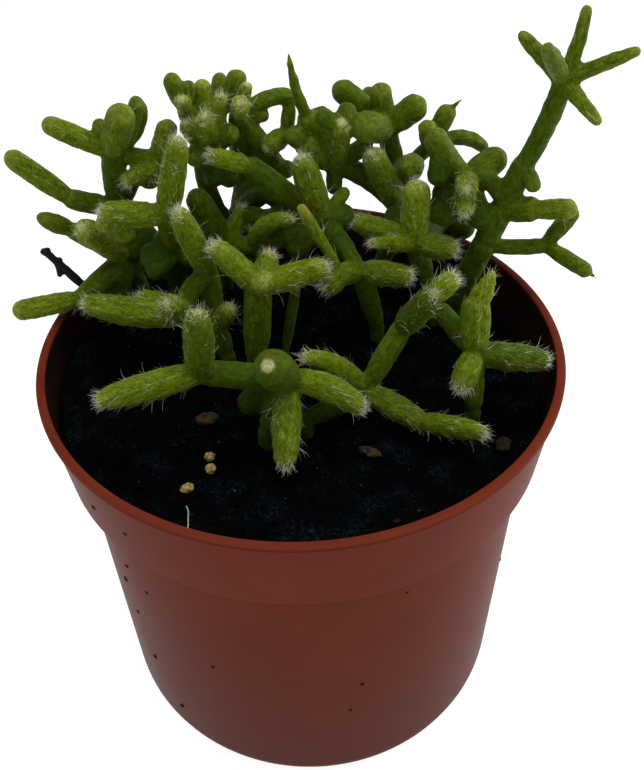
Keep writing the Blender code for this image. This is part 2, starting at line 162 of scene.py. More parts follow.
def turned(name, profile, sides):
    """A closed shape: an outline of (radius, height), from axis to axis, turned round +Z.

    The outline starts at the bottom and runs outwards and up, so the faces look outwards.
    """
    points = []
    rings = []
    for radius, height in profile:
        angles = [2 * math.pi * step / sides for step in range(sides if radius > 0 else 1)]
        rings.append([len(points) + step for step in range(len(angles))])
        points += [(radius * math.cos(turn), radius * math.sin(turn), height) for turn in angles]
    faces = []
    for lower, upper in zip(rings[:-1], rings[1:]):
        for step in range(sides):
            after = (step + 1) % sides
            corners = (lower[step % len(lower)], lower[after % len(lower)],
                       upper[after % len(upper)], upper[step % len(upper)])
            # At a point on the axis two corners are one, so the face has three.
            faces.append(tuple(dict.fromkeys(corners)))
    return mesh_object(name, points, faces)


def fillet(radius, height, size, steps):
    """Round the corner between a floor at the given height and a wall at the given radius."""
    arc = []
    for step in range(steps + 1):
        angle = math.radians(90 * step / steps)
        arc.append((radius - size + size * math.sin(angle), height + size - size * math.cos(angle)))
    return arc


def inner_collar_radius(height):
    """Radius of the inside of the collar at a height."""
    share = (height - COLLAR_FOOT) / (POT_HEIGHT - COLLAR_FOOT)
    top = LIP_RADIUS - LIP_WIDTH
    return top + (COLLAR_FOOT_RADIUS - WALL - top) * (1 - share)


lip_foot = POT_HEIGHT - LIP_HEIGHT
inner_lip_radius = LIP_RADIUS - LIP_WIDTH
pot_profile = [
    (0.0, 0.0),
    (CENTRE_PAD_RADIUS, 0.0),
    (CENTRE_PAD_RADIUS + CHANNEL_SLOPE, CHANNEL_RISE),
    (FOOT_RING_RADIUS - CHANNEL_SLOPE, CHANNEL_RISE),
    (FOOT_RING_RADIUS, 0.0),
]
pot_profile += fillet(BASE_RADIUS, 0.0, BASE_FILLET, 8)
# The shoulder, the collar and the lip, with a fine groove round its outer edge.
pot_profile += [
    (BODY_TOP_RADIUS, COLLAR_FOOT - SHOULDER_DROP),
    (COLLAR_FOOT_RADIUS - 0.3, COLLAR_FOOT - 0.25),
    (COLLAR_FOOT_RADIUS, COLLAR_FOOT + 0.1),
    (COLLAR_TOP_RADIUS, lip_foot),
    (LIP_RADIUS, lip_foot + 0.05),
    (LIP_RADIUS, lip_foot + 0.3),
    (LIP_RADIUS - LIP_GROOVE, lip_foot + 0.36),
    (LIP_RADIUS, lip_foot + 0.42),
    (LIP_RADIUS, POT_HEIGHT - LIP_ROUNDING),
    (LIP_RADIUS - LIP_BEVEL, POT_HEIGHT - LIP_BEVEL),
    (LIP_RADIUS - LIP_ROUNDING, POT_HEIGHT),
    (inner_lip_radius + LIP_ROUNDING, POT_HEIGHT),
    (inner_lip_radius + LIP_BEVEL, POT_HEIGHT - LIP_BEVEL),
    (inner_lip_radius, POT_HEIGHT - LIP_ROUNDING),
    (inner_collar_radius(COLLAR_FOOT + WALL), COLLAR_FOOT + WALL),
    (BODY_TOP_RADIUS - WALL, COLLAR_FOOT - SHOULDER_DROP + WALL / 2),
]
pot_profile += reversed(fillet(BASE_RADIUS - WALL, FLOOR_TOP, BASE_FILLET - WALL, 6))
pot_profile += [(0.0, FLOOR_TOP)]
pot = turned("nursery_pot", pot_profile, POT_SIDES)

drill_form = bmesh.new()
for index in range(DRAIN_COUNT):
    angle = 2 * math.pi * (index + 0.5) / DRAIN_COUNT
    place = Vector((DRAIN_CIRCLE * math.cos(angle), DRAIN_CIRCLE * math.sin(angle), DRILL_MIDDLE))
    bmesh.ops.create_cone(drill_form, cap_ends=True, segments=32, radius1=DRAIN_RADIUS * MM,
                          radius2=DRAIN_RADIUS * MM, depth=DRILL_DEPTH * MM,
                          matrix=Matrix.Translation(place * MM))
drills = form_object("drills", drill_form)
cut = pot.modifiers.new("drain holes", "BOOLEAN")
cut.operation = "DIFFERENCE"
cut.object = drills
cut.solver = "EXACT"
finished(pot)
bpy.data.objects.remove(drills)
pot.data.shade_smooth()
pot.data.set_sharp_from_angle(angle=SHARP_POT_EDGE)


def linear(hex_colour):
    """Linear RGBA of an sRGB hex colour."""
    parts = [int(hex_colour[start:start + 2], 16) / 255 for start in (1, 3, 5)]
    return (*[part / 12.92 if part <= 0.04045 else ((part + 0.055) / 1.055) ** 2.4
              for part in parts], 1.0)


def feed(tree, node, inputs):
    """Give a node its inputs. Each is a value, or the output that feeds it."""
    for key, value in inputs.items():
        if isinstance(value, bpy.types.NodeSocket):
            tree.links.new(value, node.inputs[key])
        else:
            node.inputs[key].default_value = value


def add_node(tree, kind, settings=None, inputs=None):
    """Add one node with its settings and its inputs."""
    node = tree.nodes.new(kind)
    for key, value in (settings or {}).items():
        setattr(node, key, value)
    feed(tree, node, inputs or {})
    return node


def new_material(name):
    """A material with its tree, its Principled shader and the piece's Object coordinates."""
    material = bpy.data.materials.new(name)
    material.use_nodes = True
    tree = material.node_tree
    shader = tree.nodes["Principled BSDF"]
    coords = add_node(tree, "ShaderNodeTexCoord").outputs["Object"]
    return material, tree, shader, coords


def noise_of(tree, vector, scale, detail, roughness=0.5):
    """Noise between 0 and 1, with its scale as a number of blotches on each unit of the vector."""
    return add_node(tree, "ShaderNodeTexNoise", None, {
        "Vector": vector, "Scale": scale, "Detail": detail, "Roughness": roughness,
    }).outputs["Fac"]


def ranged(tree, value, low, high, start=0.0, end=1.0):
    """The value from low to high turned into one from start to end, and held there."""
    return add_node(tree, "ShaderNodeMapRange", None, {
        "Value": value, "From Min": low, "From Max": high, "To Min": start, "To Max": end,
    }).outputs["Result"]


def worked(tree, operation, *values):
    """Output of one Math node."""
    node = add_node(tree, "ShaderNodeMath", {"operation": operation}, dict(enumerate(values)))
    return node.outputs["Value"]


def product(tree, value, *factors):
    """Output of the Math nodes that multiply a value by each factor."""
    for factor in factors:
        value = worked(tree, "MULTIPLY", value, factor)
    return value


def mixed(tree, share, under, over):
    """A share of one colour over another. Each is an sRGB hex, or the output that feeds it."""
    under, over = [linear(tint) if isinstance(tint, str) else tint for tint in (under, over)]
    node = add_node(tree, "ShaderNodeMix", {"data_type": "RGBA"}, {0: share, 6: under, 7: over})
    return node.outputs[2]


def bumped(tree, height, strength, depth):
    """Normal output of a bump from a height between 0 and 1, and a depth in millimetres."""
    return add_node(tree, "ShaderNodeBump", None, {
        "Height": height, "Strength": strength, "Distance": depth * MM,
    }).outputs["Normal"]


def moulded_polypropylene(name, base, worn, rough, foot_shade):
    """Satin moulded polypropylene: even colour, faint clouding, fine dust and a soft gloss.

    The colour is darker by the foot shade at the bottom of the pot: painted shade.
    """
    material, tree, shader, coords = new_material(name)
    parts = add_node(tree, "ShaderNodeSeparateXYZ", None, {0: coords}).outputs
    height = parts["Z"]
    clouds = noise_of(tree, coords, 1 / (14 * MM), 4.0)
    fine = noise_of(tree, coords, 1 / (0.7 * MM), 3.0)
    body = mixed(tree, ranged(tree, clouds, 0.35, 0.7), base, worn)
    dusted = mixed(tree, ranged(tree, fine, 0.66, 0.85, 0.0, 0.12), body, "#8a6a5c")
    shade = ranged(tree, height, 0.0, lip_foot * MM, foot_shade, 0.0)
    shaded = mixed(tree, shade, dusted, "#1c0c08")
    # The lip and the edge at the foot of the collar are a little paler: painted highlights.
    lip = ranged(tree, height, (lip_foot - 0.1) * MM, (lip_foot + 0.1) * MM, 0.0, 0.05)
    from_edge = worked(tree, "ABSOLUTE", worked(tree, "SUBTRACT", height, COLLAR_FOOT * MM))
    edge = ranged(tree, from_edge, 0.15 * MM, 0.4 * MM, 0.16, 0.0)
    highlighted = mixed(tree, worked(tree, "ADD", lip, edge), shaded, "#8a4032")
    # At the back the inner half of the lip is darkened: painted shade, where the plant shades it.
    level = add_node(tree, "ShaderNodeCombineXYZ", None, {"X": parts["X"], "Y": parts["Y"]})
    radius = add_node(tree, "ShaderNodeVectorMath", {"operation": "LENGTH"},
                      {0: level.outputs["Vector"]}).outputs["Value"]
    inner = ranged(tree, radius, (LIP_RADIUS - 0.25) * MM, (LIP_RADIUS - 0.65) * MM)
    far = ranged(tree, parts["Y"], 2 * MM, 24 * MM, 0.0, 0.9)
    on_lip = ranged(tree, height, (POT_HEIGHT - 0.35) * MM, (POT_HEIGHT - 0.15) * MM)
    stained = mixed(tree, product(tree, inner, far, on_lip), highlighted, "#241110")
    # The bump is the orange peel of the mould, 0.7 mm across here and finer on the real pot.
    feed(tree, shader, {
        "Base Color": stained,
        "Roughness": ranged(tree, clouds, 0.0, 1.0, rough - 0.06, rough + 0.06),
        "Normal": bumped(tree, fine, 0.12, 0.05),
        "IOR": 1.49,
        "Specular IOR Level": 0.025,
    })
    return material


pot.data.materials.append(
    moulded_polypropylene("reddish polypropylene", "#602416", "#672a1a", 0.42, 0.4))
# The inside of the pot and its floor take a dark copy of the plastic: painted shade.
pot.data.materials.append(
    moulded_polypropylene("polypropylene in painted shade", "#22100e", "#0c0707", 0.6, 0.0))
for face in pot.data.polygons:
    height = face.center.z / MM
    outward = face.normal.x * face.center.x + face.normal.y * face.center.y
    inside = outward < -1e-9 and FLOOR_TOP < height < LINING_TOP
    on_floor = face.normal.z > 0.9 and height < LINED_FLOOR_BELOW
    face.material_index = 1 if inside or on_floor else 0

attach(pot, "root")
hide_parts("pot")


# ---- Peat ------------------------------------------------------------------------------------
# Black, damp potting peat, filled to 9 mm below the rim. It is crumbly, with loose crumbs, some
# fibres and a few pale grains on its top, and it holds the cuttings upright.
PEAT_GAP = 0.3
SOIL_TOP = 65.0
SOIL_EDGE_DROP = 0.6
SOIL_EDGE_WIDTH = 0.4
SOIL_SIDES = 260
SOIL_RING_STEP = 0.5
RELIEF = 0.2
LUMP_HEIGHT = 0.55
LUMPS_PER_MM = 0.28
CRUMB_HEIGHT = 0.3
CRUMBS_PER_MM = 0.9
BANK_HEIGHT = 3.0
BANK_TURN = math.radians(165)


def smooth_step(low, high, value):
    """0 below low, 1 above high, and a soft rise between them."""
    share = np.clip((value - low) / (high - low), 0, 1)
    return share * share * (3 - 2 * share)


def soil_height(x, y):
    """Height of the uneven top of the peat, which is banked up against the wall on the left."""
    waves = math.sin(0.42 * x + 0.9) * math.cos(0.5 * y) + 0.7 * math.sin(0.55 * x - 0.47 * y)
    radius = math.hypot(x, y)
    facing = math.cos(math.atan2(y, x) - BANK_TURN)
    bank = BANK_HEIGHT * float(smooth_step(30, 40, radius) * smooth_step(0.45, 0.85, facing))
    return SOIL_TOP + RELIEF * waves + bank


def mark(thing, label, values):
    """Store a number, or a vector, for each vertex of the object."""
    values = np.asarray(values)
    kind, key = ("FLOAT", "value") if values.ndim == 1 else ("FLOAT_VECTOR", "vector")
    thing.data.attributes.new(label, kind, "POINT").data.foreach_set(key, values.ravel())


soil_edge = inner_collar_radius(SOIL_TOP) - PEAT_GAP
soil_profile = [(0.0, FLOOR_TOP + PEAT_GAP)]
soil_profile += fillet(BASE_RADIUS - WALL - PEAT_GAP, FLOOR_TOP + PEAT_GAP, BASE_FILLET - WALL, 4)
soil_profile += [
    (BODY_TOP_RADIUS - WALL - PEAT_GAP, COLLAR_FOOT - SHOULDER_DROP + WALL / 2 + PEAT_GAP),
    (inner_collar_radius(COLLAR_FOOT + WALL) - PEAT_GAP, COLLAR_FOOT + WALL + PEAT_GAP),
    (soil_edge, SOIL_TOP - SOIL_EDGE_DROP),
]
ring_radius = soil_edge - SOIL_EDGE_WIDTH
while ring_radius > SOIL_RING_STEP / 2:
    soil_profile.append((ring_radius, SOIL_TOP))
    ring_radius -= SOIL_RING_STEP
soil_profile.append((0.0, SOIL_TOP))
peat = turned("peat", soil_profile, SOIL_SIDES)
top_share = []
for vert in peat.data.vertices:
    x, y, z = vert.co / MM
    on_top = z > SOIL_TOP - SOIL_EDGE_DROP / 2
    top_share.append(1.0 if on_top else 0.0)
    if on_top:
        lumps = noise.fractal(Vector((x, y, 0.0)) * LUMPS_PER_MM, 1.0, 2.0, 3)
        crumbs = noise.fractal(Vector((x, y, 5.0)) * CRUMBS_PER_MM, 0.8, 2.1, 3)
        vert.co.z = (soil_height(x, y) + LUMP_HEIGHT * (lumps - 0.2)
                     + CRUMB_HEIGHT * (crumbs - 0.2)) * MM
mark(peat, "top", top_share)
peat.data.shade_smooth()
peat.data.set_sharp_from_angle(angle=math.radians(70))


def damp_peat(name, dark, pale):
    """Black damp peat: dull and crumbly, with bluish-grey patches of painted sheen where light
    catches it.
    """
    material, tree, shader, coords = new_material(name)
    grains = noise_of(tree, coords, 1 / (0.5 * MM), 4.0)
    both = product(tree, noise_of(tree, coords, 1 / (5 * MM), 5.0), grains)
    feed(tree, shader, {
        "Base Color": mixed(tree, ranged(tree, both, 0.28, 0.44), dark, pale),
        "Normal": bumped(tree, grains, 0.7, 0.25),
        "Roughness": 0.95,
        "Specular IOR Level": 0.03,
    })
    return material


peat_material = damp_peat("damp black peat", "#010203", "#10191c")
peat.data.materials.append(peat_material)
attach(peat, "root")
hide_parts("soil")


def new_geometry_tree(name, inputs):
    """A Geometry Nodes tree with named inputs, each with its kind of socket."""
    tree = bpy.data.node_groups.new(name, "GeometryNodeTree")
    tree.interface.new_socket("Geometry", in_out="OUTPUT", socket_type="NodeSocketGeometry")
    for label, kind in {"Geometry": "Geometry", **inputs}.items():
        tree.interface.new_socket(label, in_out="INPUT", socket_type="NodeSocket" + kind)
    return tree, add_node(tree, "NodeGroupInput").outputs


def scattered(tree, given, densest):
    """Points on the faces where the named attribute is high, with the spacing between them."""
    where = add_node(tree, "GeometryNodeInputNamedAttribute", {"data_type": "FLOAT"},
                     {"Name": given["Where"]})
    node = add_node(tree, "GeometryNodeDistributePointsOnFaces", {"distribute_method": "POISSON"}, {
        "Mesh": given["Geometry"], "Distance Min": given["Spacing"], "Density Max": densest,
        "Density Factor": where.outputs["Attribute"], "Seed": given["Seed"],
    })
    return node.outputs


def drawn(tree, kind, low, high, seed):
    """Random numbers, of kind FLOAT, or vectors, of kind FLOAT_VECTOR, between low and high."""
    first = {"FLOAT_VECTOR": 0, "FLOAT": 2}[kind]
    node = add_node(tree, "FunctionNodeRandomValue", {"data_type": kind},
                    {first: low, first + 1: high, "Seed": seed})
    return node.outputs[first // 2]


def scaled(tree, vector, factor):
    """The vector times the factor."""
    node = add_node(tree, "ShaderNodeVectorMath", {"operation": "SCALE"},
                    {0: vector, "Scale": factor})
    return node.outputs["Vector"]


def plant(tree, given, points, copy, rotation, size):
    """End the tree: turned and scaled copies on the points, made real, in the given material."""
    placed = add_node(tree, "GeometryNodeInstanceOnPoints", None, {
        "Points": points, "Instance": copy, "Rotation": rotation, "Scale": size,
    })
    real = add_node(tree, "GeometryNodeRealizeInstances", None,
                    {"Geometry": placed.outputs["Instances"]})
    coated = add_node(tree, "GeometryNodeSetMaterial", None,
                      {"Geometry": real.outputs["Geometry"], "Material": given["Material"]})
    add_node(tree, "NodeGroupOutput", None, {"Geometry": coated.outputs["Geometry"]})


def places_of(thing):
    """Places of a mesh's vertices in metres, one row for each."""
    places = np.empty(len(thing.data.vertices) * 3)
    thing.data.vertices.foreach_get("co", places)
    return places.reshape(-1, 3)


def move_to(thing, places):
    """Put a mesh's vertices at places in metres."""
    thing.data.vertices.foreach_set("co", places.ravel())
    thing.data.update()


def hold_in_box(thing):
    """Move what lies outside the box of the plain model onto the side of the box."""
    low, high = [np.array(corner) for corner in cad_box]
    move_to(thing, np.clip(places_of(thing), low, high))


def grown(name, carrier, tree, values):
    """What a Geometry Nodes tree grows on a piece, as a plain mesh in an object of its own."""
    thing = linked(name, carrier.data)
    modifier = thing.modifiers.new(tree.name, "NODES")
    modifier.node_group = tree
    for item in tree.interface.items_tree:
        if item.in_out == "INPUT" and item.name in values:
            modifier[item.identifier] = values[item.name]
    finished(thing)
    hold_in_box(thing)
    return thing


# Loose crumbs: squashed and turned little lumps, scattered over the top of the peat.
crumb_tree, given = new_geometry_tree("loose crumbs", {
    "Where": "String", "Spacing": "Float", "Smallest": "Vector", "Largest": "Vector",
    "Seed": "Int", "Material": "Material",
})
spots = scattered(crumb_tree, given, 4e6)
lump = add_node(crumb_tree, "GeometryNodeMeshIcoSphere", None, {"Radius": 0.5, "Subdivisions": 1})
wobble = add_node(crumb_tree, "ShaderNodeTexNoise", None, {"Scale": 3.0, "Detail": 1.0})
rough_lump = add_node(crumb_tree, "GeometryNodeSetPosition", None, {
    "Geometry": lump.outputs["Mesh"],
    "Offset": scaled(crumb_tree, wobble.outputs["Color"], 0.6),
})
turn = drawn(crumb_tree, "FLOAT_VECTOR", (0, 0, 0), (6.28, 6.28, 6.28), given["Seed"])
plant(
    crumb_tree, given, spots["Points"], rough_lump.outputs["Geometry"],
    add_node(crumb_tree, "FunctionNodeEulerToRotation", None, {0: turn}).outputs[0],
    drawn(crumb_tree, "FLOAT_VECTOR", given["Smallest"], given["Largest"], given["Seed"]),
)

crumbs = grown("peat_crumbs", peat, crumb_tree, {
    "Where": "top", "Spacing": 1.6 * MM, "Smallest": (0.3 * MM, 0.3 * MM, 0.2 * MM),
    "Largest": (1.5 * MM, 1.2 * MM, 0.9 * MM), "Seed": 3, "Material": peat_material,
})
grit = grown("grit", peat, crumb_tree, {
    "Where": "top", "Spacing": 7.5 * MM, "Smallest": (0.15 * MM, 0.15 * MM, 0.15 * MM),
    "Largest": (0.5 * MM, 0.5 * MM, 0.4 * MM), "Seed": 11,
    "Material": damp_peat("pale grit", "#3a342c", "#6a6258"),
})

# A white root fibre that lies on the peat in front, as points of (x, y, height over the peat),
# and a fleck of the pot's own plastic, as the corners of a thin flake, anticlockwise from above.
FIBRE = ((-17.6, -27.2, 0.5), (-17.1, -28.2, 0.75), (-17.3, -29.6, 0.6),
         (-17.0, -30.8, 0.5), (-17.3, -31.9, 0.35))
FIBRE_WIDTH = 0.22
FLECK = ((12.1, -31.9), (12.7, -32.1), (13.5, -31.6), (12.9, -31.3))
FLECK_LIFT = 0.55
FLECK_THICKNESS = 0.18

fibre_path = bpy.data.curves.new("root_fibre", "CURVE")
fibre_path.dimensions = "3D"
fibre_path.bevel_depth = FIBRE_WIDTH / 2 * MM
fibre_path.bevel_resolution = 1
fibre_path.use_fill_caps = True
strand = fibre_path.splines.new("NURBS")
strand.points.add(len(FIBRE) - 1)
strand.use_endpoint_u = True
for point, (x, y, lift) in zip(strand.points, FIBRE):
    point.co = (x * MM, y * MM, (soil_height(x, y) + lift) * MM, 1.0)
fibre_curve = linked("fibre curve", fibre_path)
seen = fibre_curve.evaluated_get(bpy.context.evaluated_depsgraph_get())
fibre = linked("root_fibre", bpy.data.meshes.new_from_object(seen))
bpy.data.objects.remove(fibre_curve)
fibre.data.materials.append(damp_peat("dry white root", "#8f9a92", "#c4ccc4"))

fleck_points = [(x, y, soil_height(x, y) + FLECK_LIFT + lift)
                for lift in (0.0, FLECK_THICKNESS) for x, y in FLECK]
fleck_sides = [(index, (index + 1) % 4, (index + 1) % 4 + 4, index + 4) for index in range(4)]
fleck = mesh_object("red_fleck", fleck_points, [(3, 2, 1, 0), (4, 5, 6, 7)] + fleck_sides)
fleck.data.materials.append(damp_peat("scrap of red plastic", "#2e0d08", "#5a1c12"))

# Specks of peat that splashed on the outside of the pot when it was watered, as
# (degrees round the pot from +X, height, size).
SPECKS = (
    (-139, 66.0, 0.5), (-129, 65.8, 0.35), (-141, 47.6, 0.45), (-145, 41.2, 0.6), (-134, 44.9, 0.4),
    (-140, 20.9, 0.5), (-132, 9.8, 0.45), (-116, 33.1, 0.35), (-81, 23.1, 0.3), (-78, 30.9, 0.35),
    (-68, 53.6, 0.3), (-150, 58.0, 0.4), (-147, 52.0, 0.35), (-143, 33.0, 0.4), (-20, 30.0, 0.35),
    (10, 50.0, 0.45), (35, 22.0, 0.4), (60, 64.0, 0.35), (85, 40.0, 0.5), (110, 15.0, 0.4),
    (130, 66.5, 0.4), (150, 36.0, 0.45), (175, 51.0, 0.5), (-170, 27.0, 0.35),
)
SPECK_THICKNESS = 0.3
SPECK_HEIGHT = 0.8


def wall_radius(height):
    """Outside radius of the pot at a height."""
    if height > COLLAR_FOOT:
        share = (height - COLLAR_FOOT) / (lip_foot - COLLAR_FOOT)
        return COLLAR_FOOT_RADIUS + (COLLAR_TOP_RADIUS - COLLAR_FOOT_RADIUS) * share
    return BASE_RADIUS + (BODY_TOP_RADIUS - BASE_RADIUS) * height / COLLAR_FOOT


speck_form = bmesh.new()
for turn, height, size in SPECKS:
    flat = Matrix.Diagonal((SPECK_THICKNESS * size * MM, size * MM, SPECK_HEIGHT * size * MM, 1.0))
    out = Matrix.Translation((wall_radius(height) * MM, 0.0, height * MM))
    bmesh.ops.create_icosphere(speck_form, subdivisions=2, radius=1.0,
                               matrix=Matrix.Rotation(math.radians(turn), 4, "Z") @ out @ flat)
specks = form_object("peat_specks", speck_form)
specks.data.materials.append(damp_peat("dried peat", "#170d09", "#2a1a12"))
specks.data.shade_smooth()

for piece in (crumbs, grit, fibre, fleck, specks):
    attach(piece, "root")


# ---- Stems -----------------------------------------------------------------------------------
# Fleshy jointed stems, 2 to 5 mm thick. Each one grows segment by segment out of the tip of the
# one below. Old segments are smooth and dark green, young ones yellower, ribbed and bristly.
STEM_SIDES = 20
STEM_RING_STEP = 0.5
FEWEST_RINGS = 14
FOOT_ROUNDING = 0.25
TIP_ROUNDING = 0.5
LONGEST_TIP = 0.4
JOINT_SINK = 0.4
PEG_DEPTH = 6.5
PEG_RISE = 2.5
PEG_SINK = 0.3
PEG_WIDTH = 0.75
SKIN_STEP = 0.3
SKIN_SMOOTHING = 2
BLEND_GAP = 0.3
RIB_COUNT = 6
RIB_HEIGHT = 0.06
CUSHION_PITCH = 1.8
CUSHION_HEIGHT = 0.12
SKIN_WAVES = 0.12
WAVES_PER_MM = 0.7

# Swelling of a segment along its axis, as (share of the length, share of the half width).
# Both ends are rounded off afterwards.
BLUNT = ((0.0, 0.6), (0.12, 0.82), (0.35, 1.0), (0.7, 1.0), (0.88, 0.93), (1.0, 0.8))
CURVED = ((0.0, 0.62), (0.12, 0.85), (0.35, 1.0), (0.7, 1.0), (0.88, 0.93), (1.0, 0.8))
YOUNG = ((0.0, 0.64), (0.12, 0.88), (0.35, 1.0), (0.6, 0.99), (0.8, 0.88), (1.0, 0.62))
ARM = ((0.0, 1.05), (0.3, 1.0), (0.7, 0.85), (1.0, 0.62))
SPIKE = ((0.0, 1.0), (0.3, 0.95), (0.6, 0.8), (0.85, 0.5), (1.0, 0.2))
BUD = ((0.0, 0.8), (0.35, 1.0), (0.75, 0.6), (0.93, 0.25), (1.0, 0.15))
THORN = ((0.0, 1.0), (0.4, 0.7), (0.85, 0.25), (1.0, 0.12))
BULB = ((0.0, 0.5), (0.3, 0.84), (0.7, 0.92), (1.0, 0.72))
FLASK = ((0.0, 0.9), (0.15, 1.3), (0.45, 1.3), (0.6, 0.85), (0.8, 0.85), (1.0, 0.6))
SPINDLE = ((0.0, 0.55), (0.25, 0.9), (0.5, 1.0), (0.75, 0.85), (1.0, 0.45))
EVEN = ((0.0, 0.97), (0.5, 1.0), (1.0, 0.97))
PEG = ((0.0, 1.0), (1.0, 1.0))
STICK = ((0.0, 1.0), (0.5, 0.92), (1.0, 0.88))
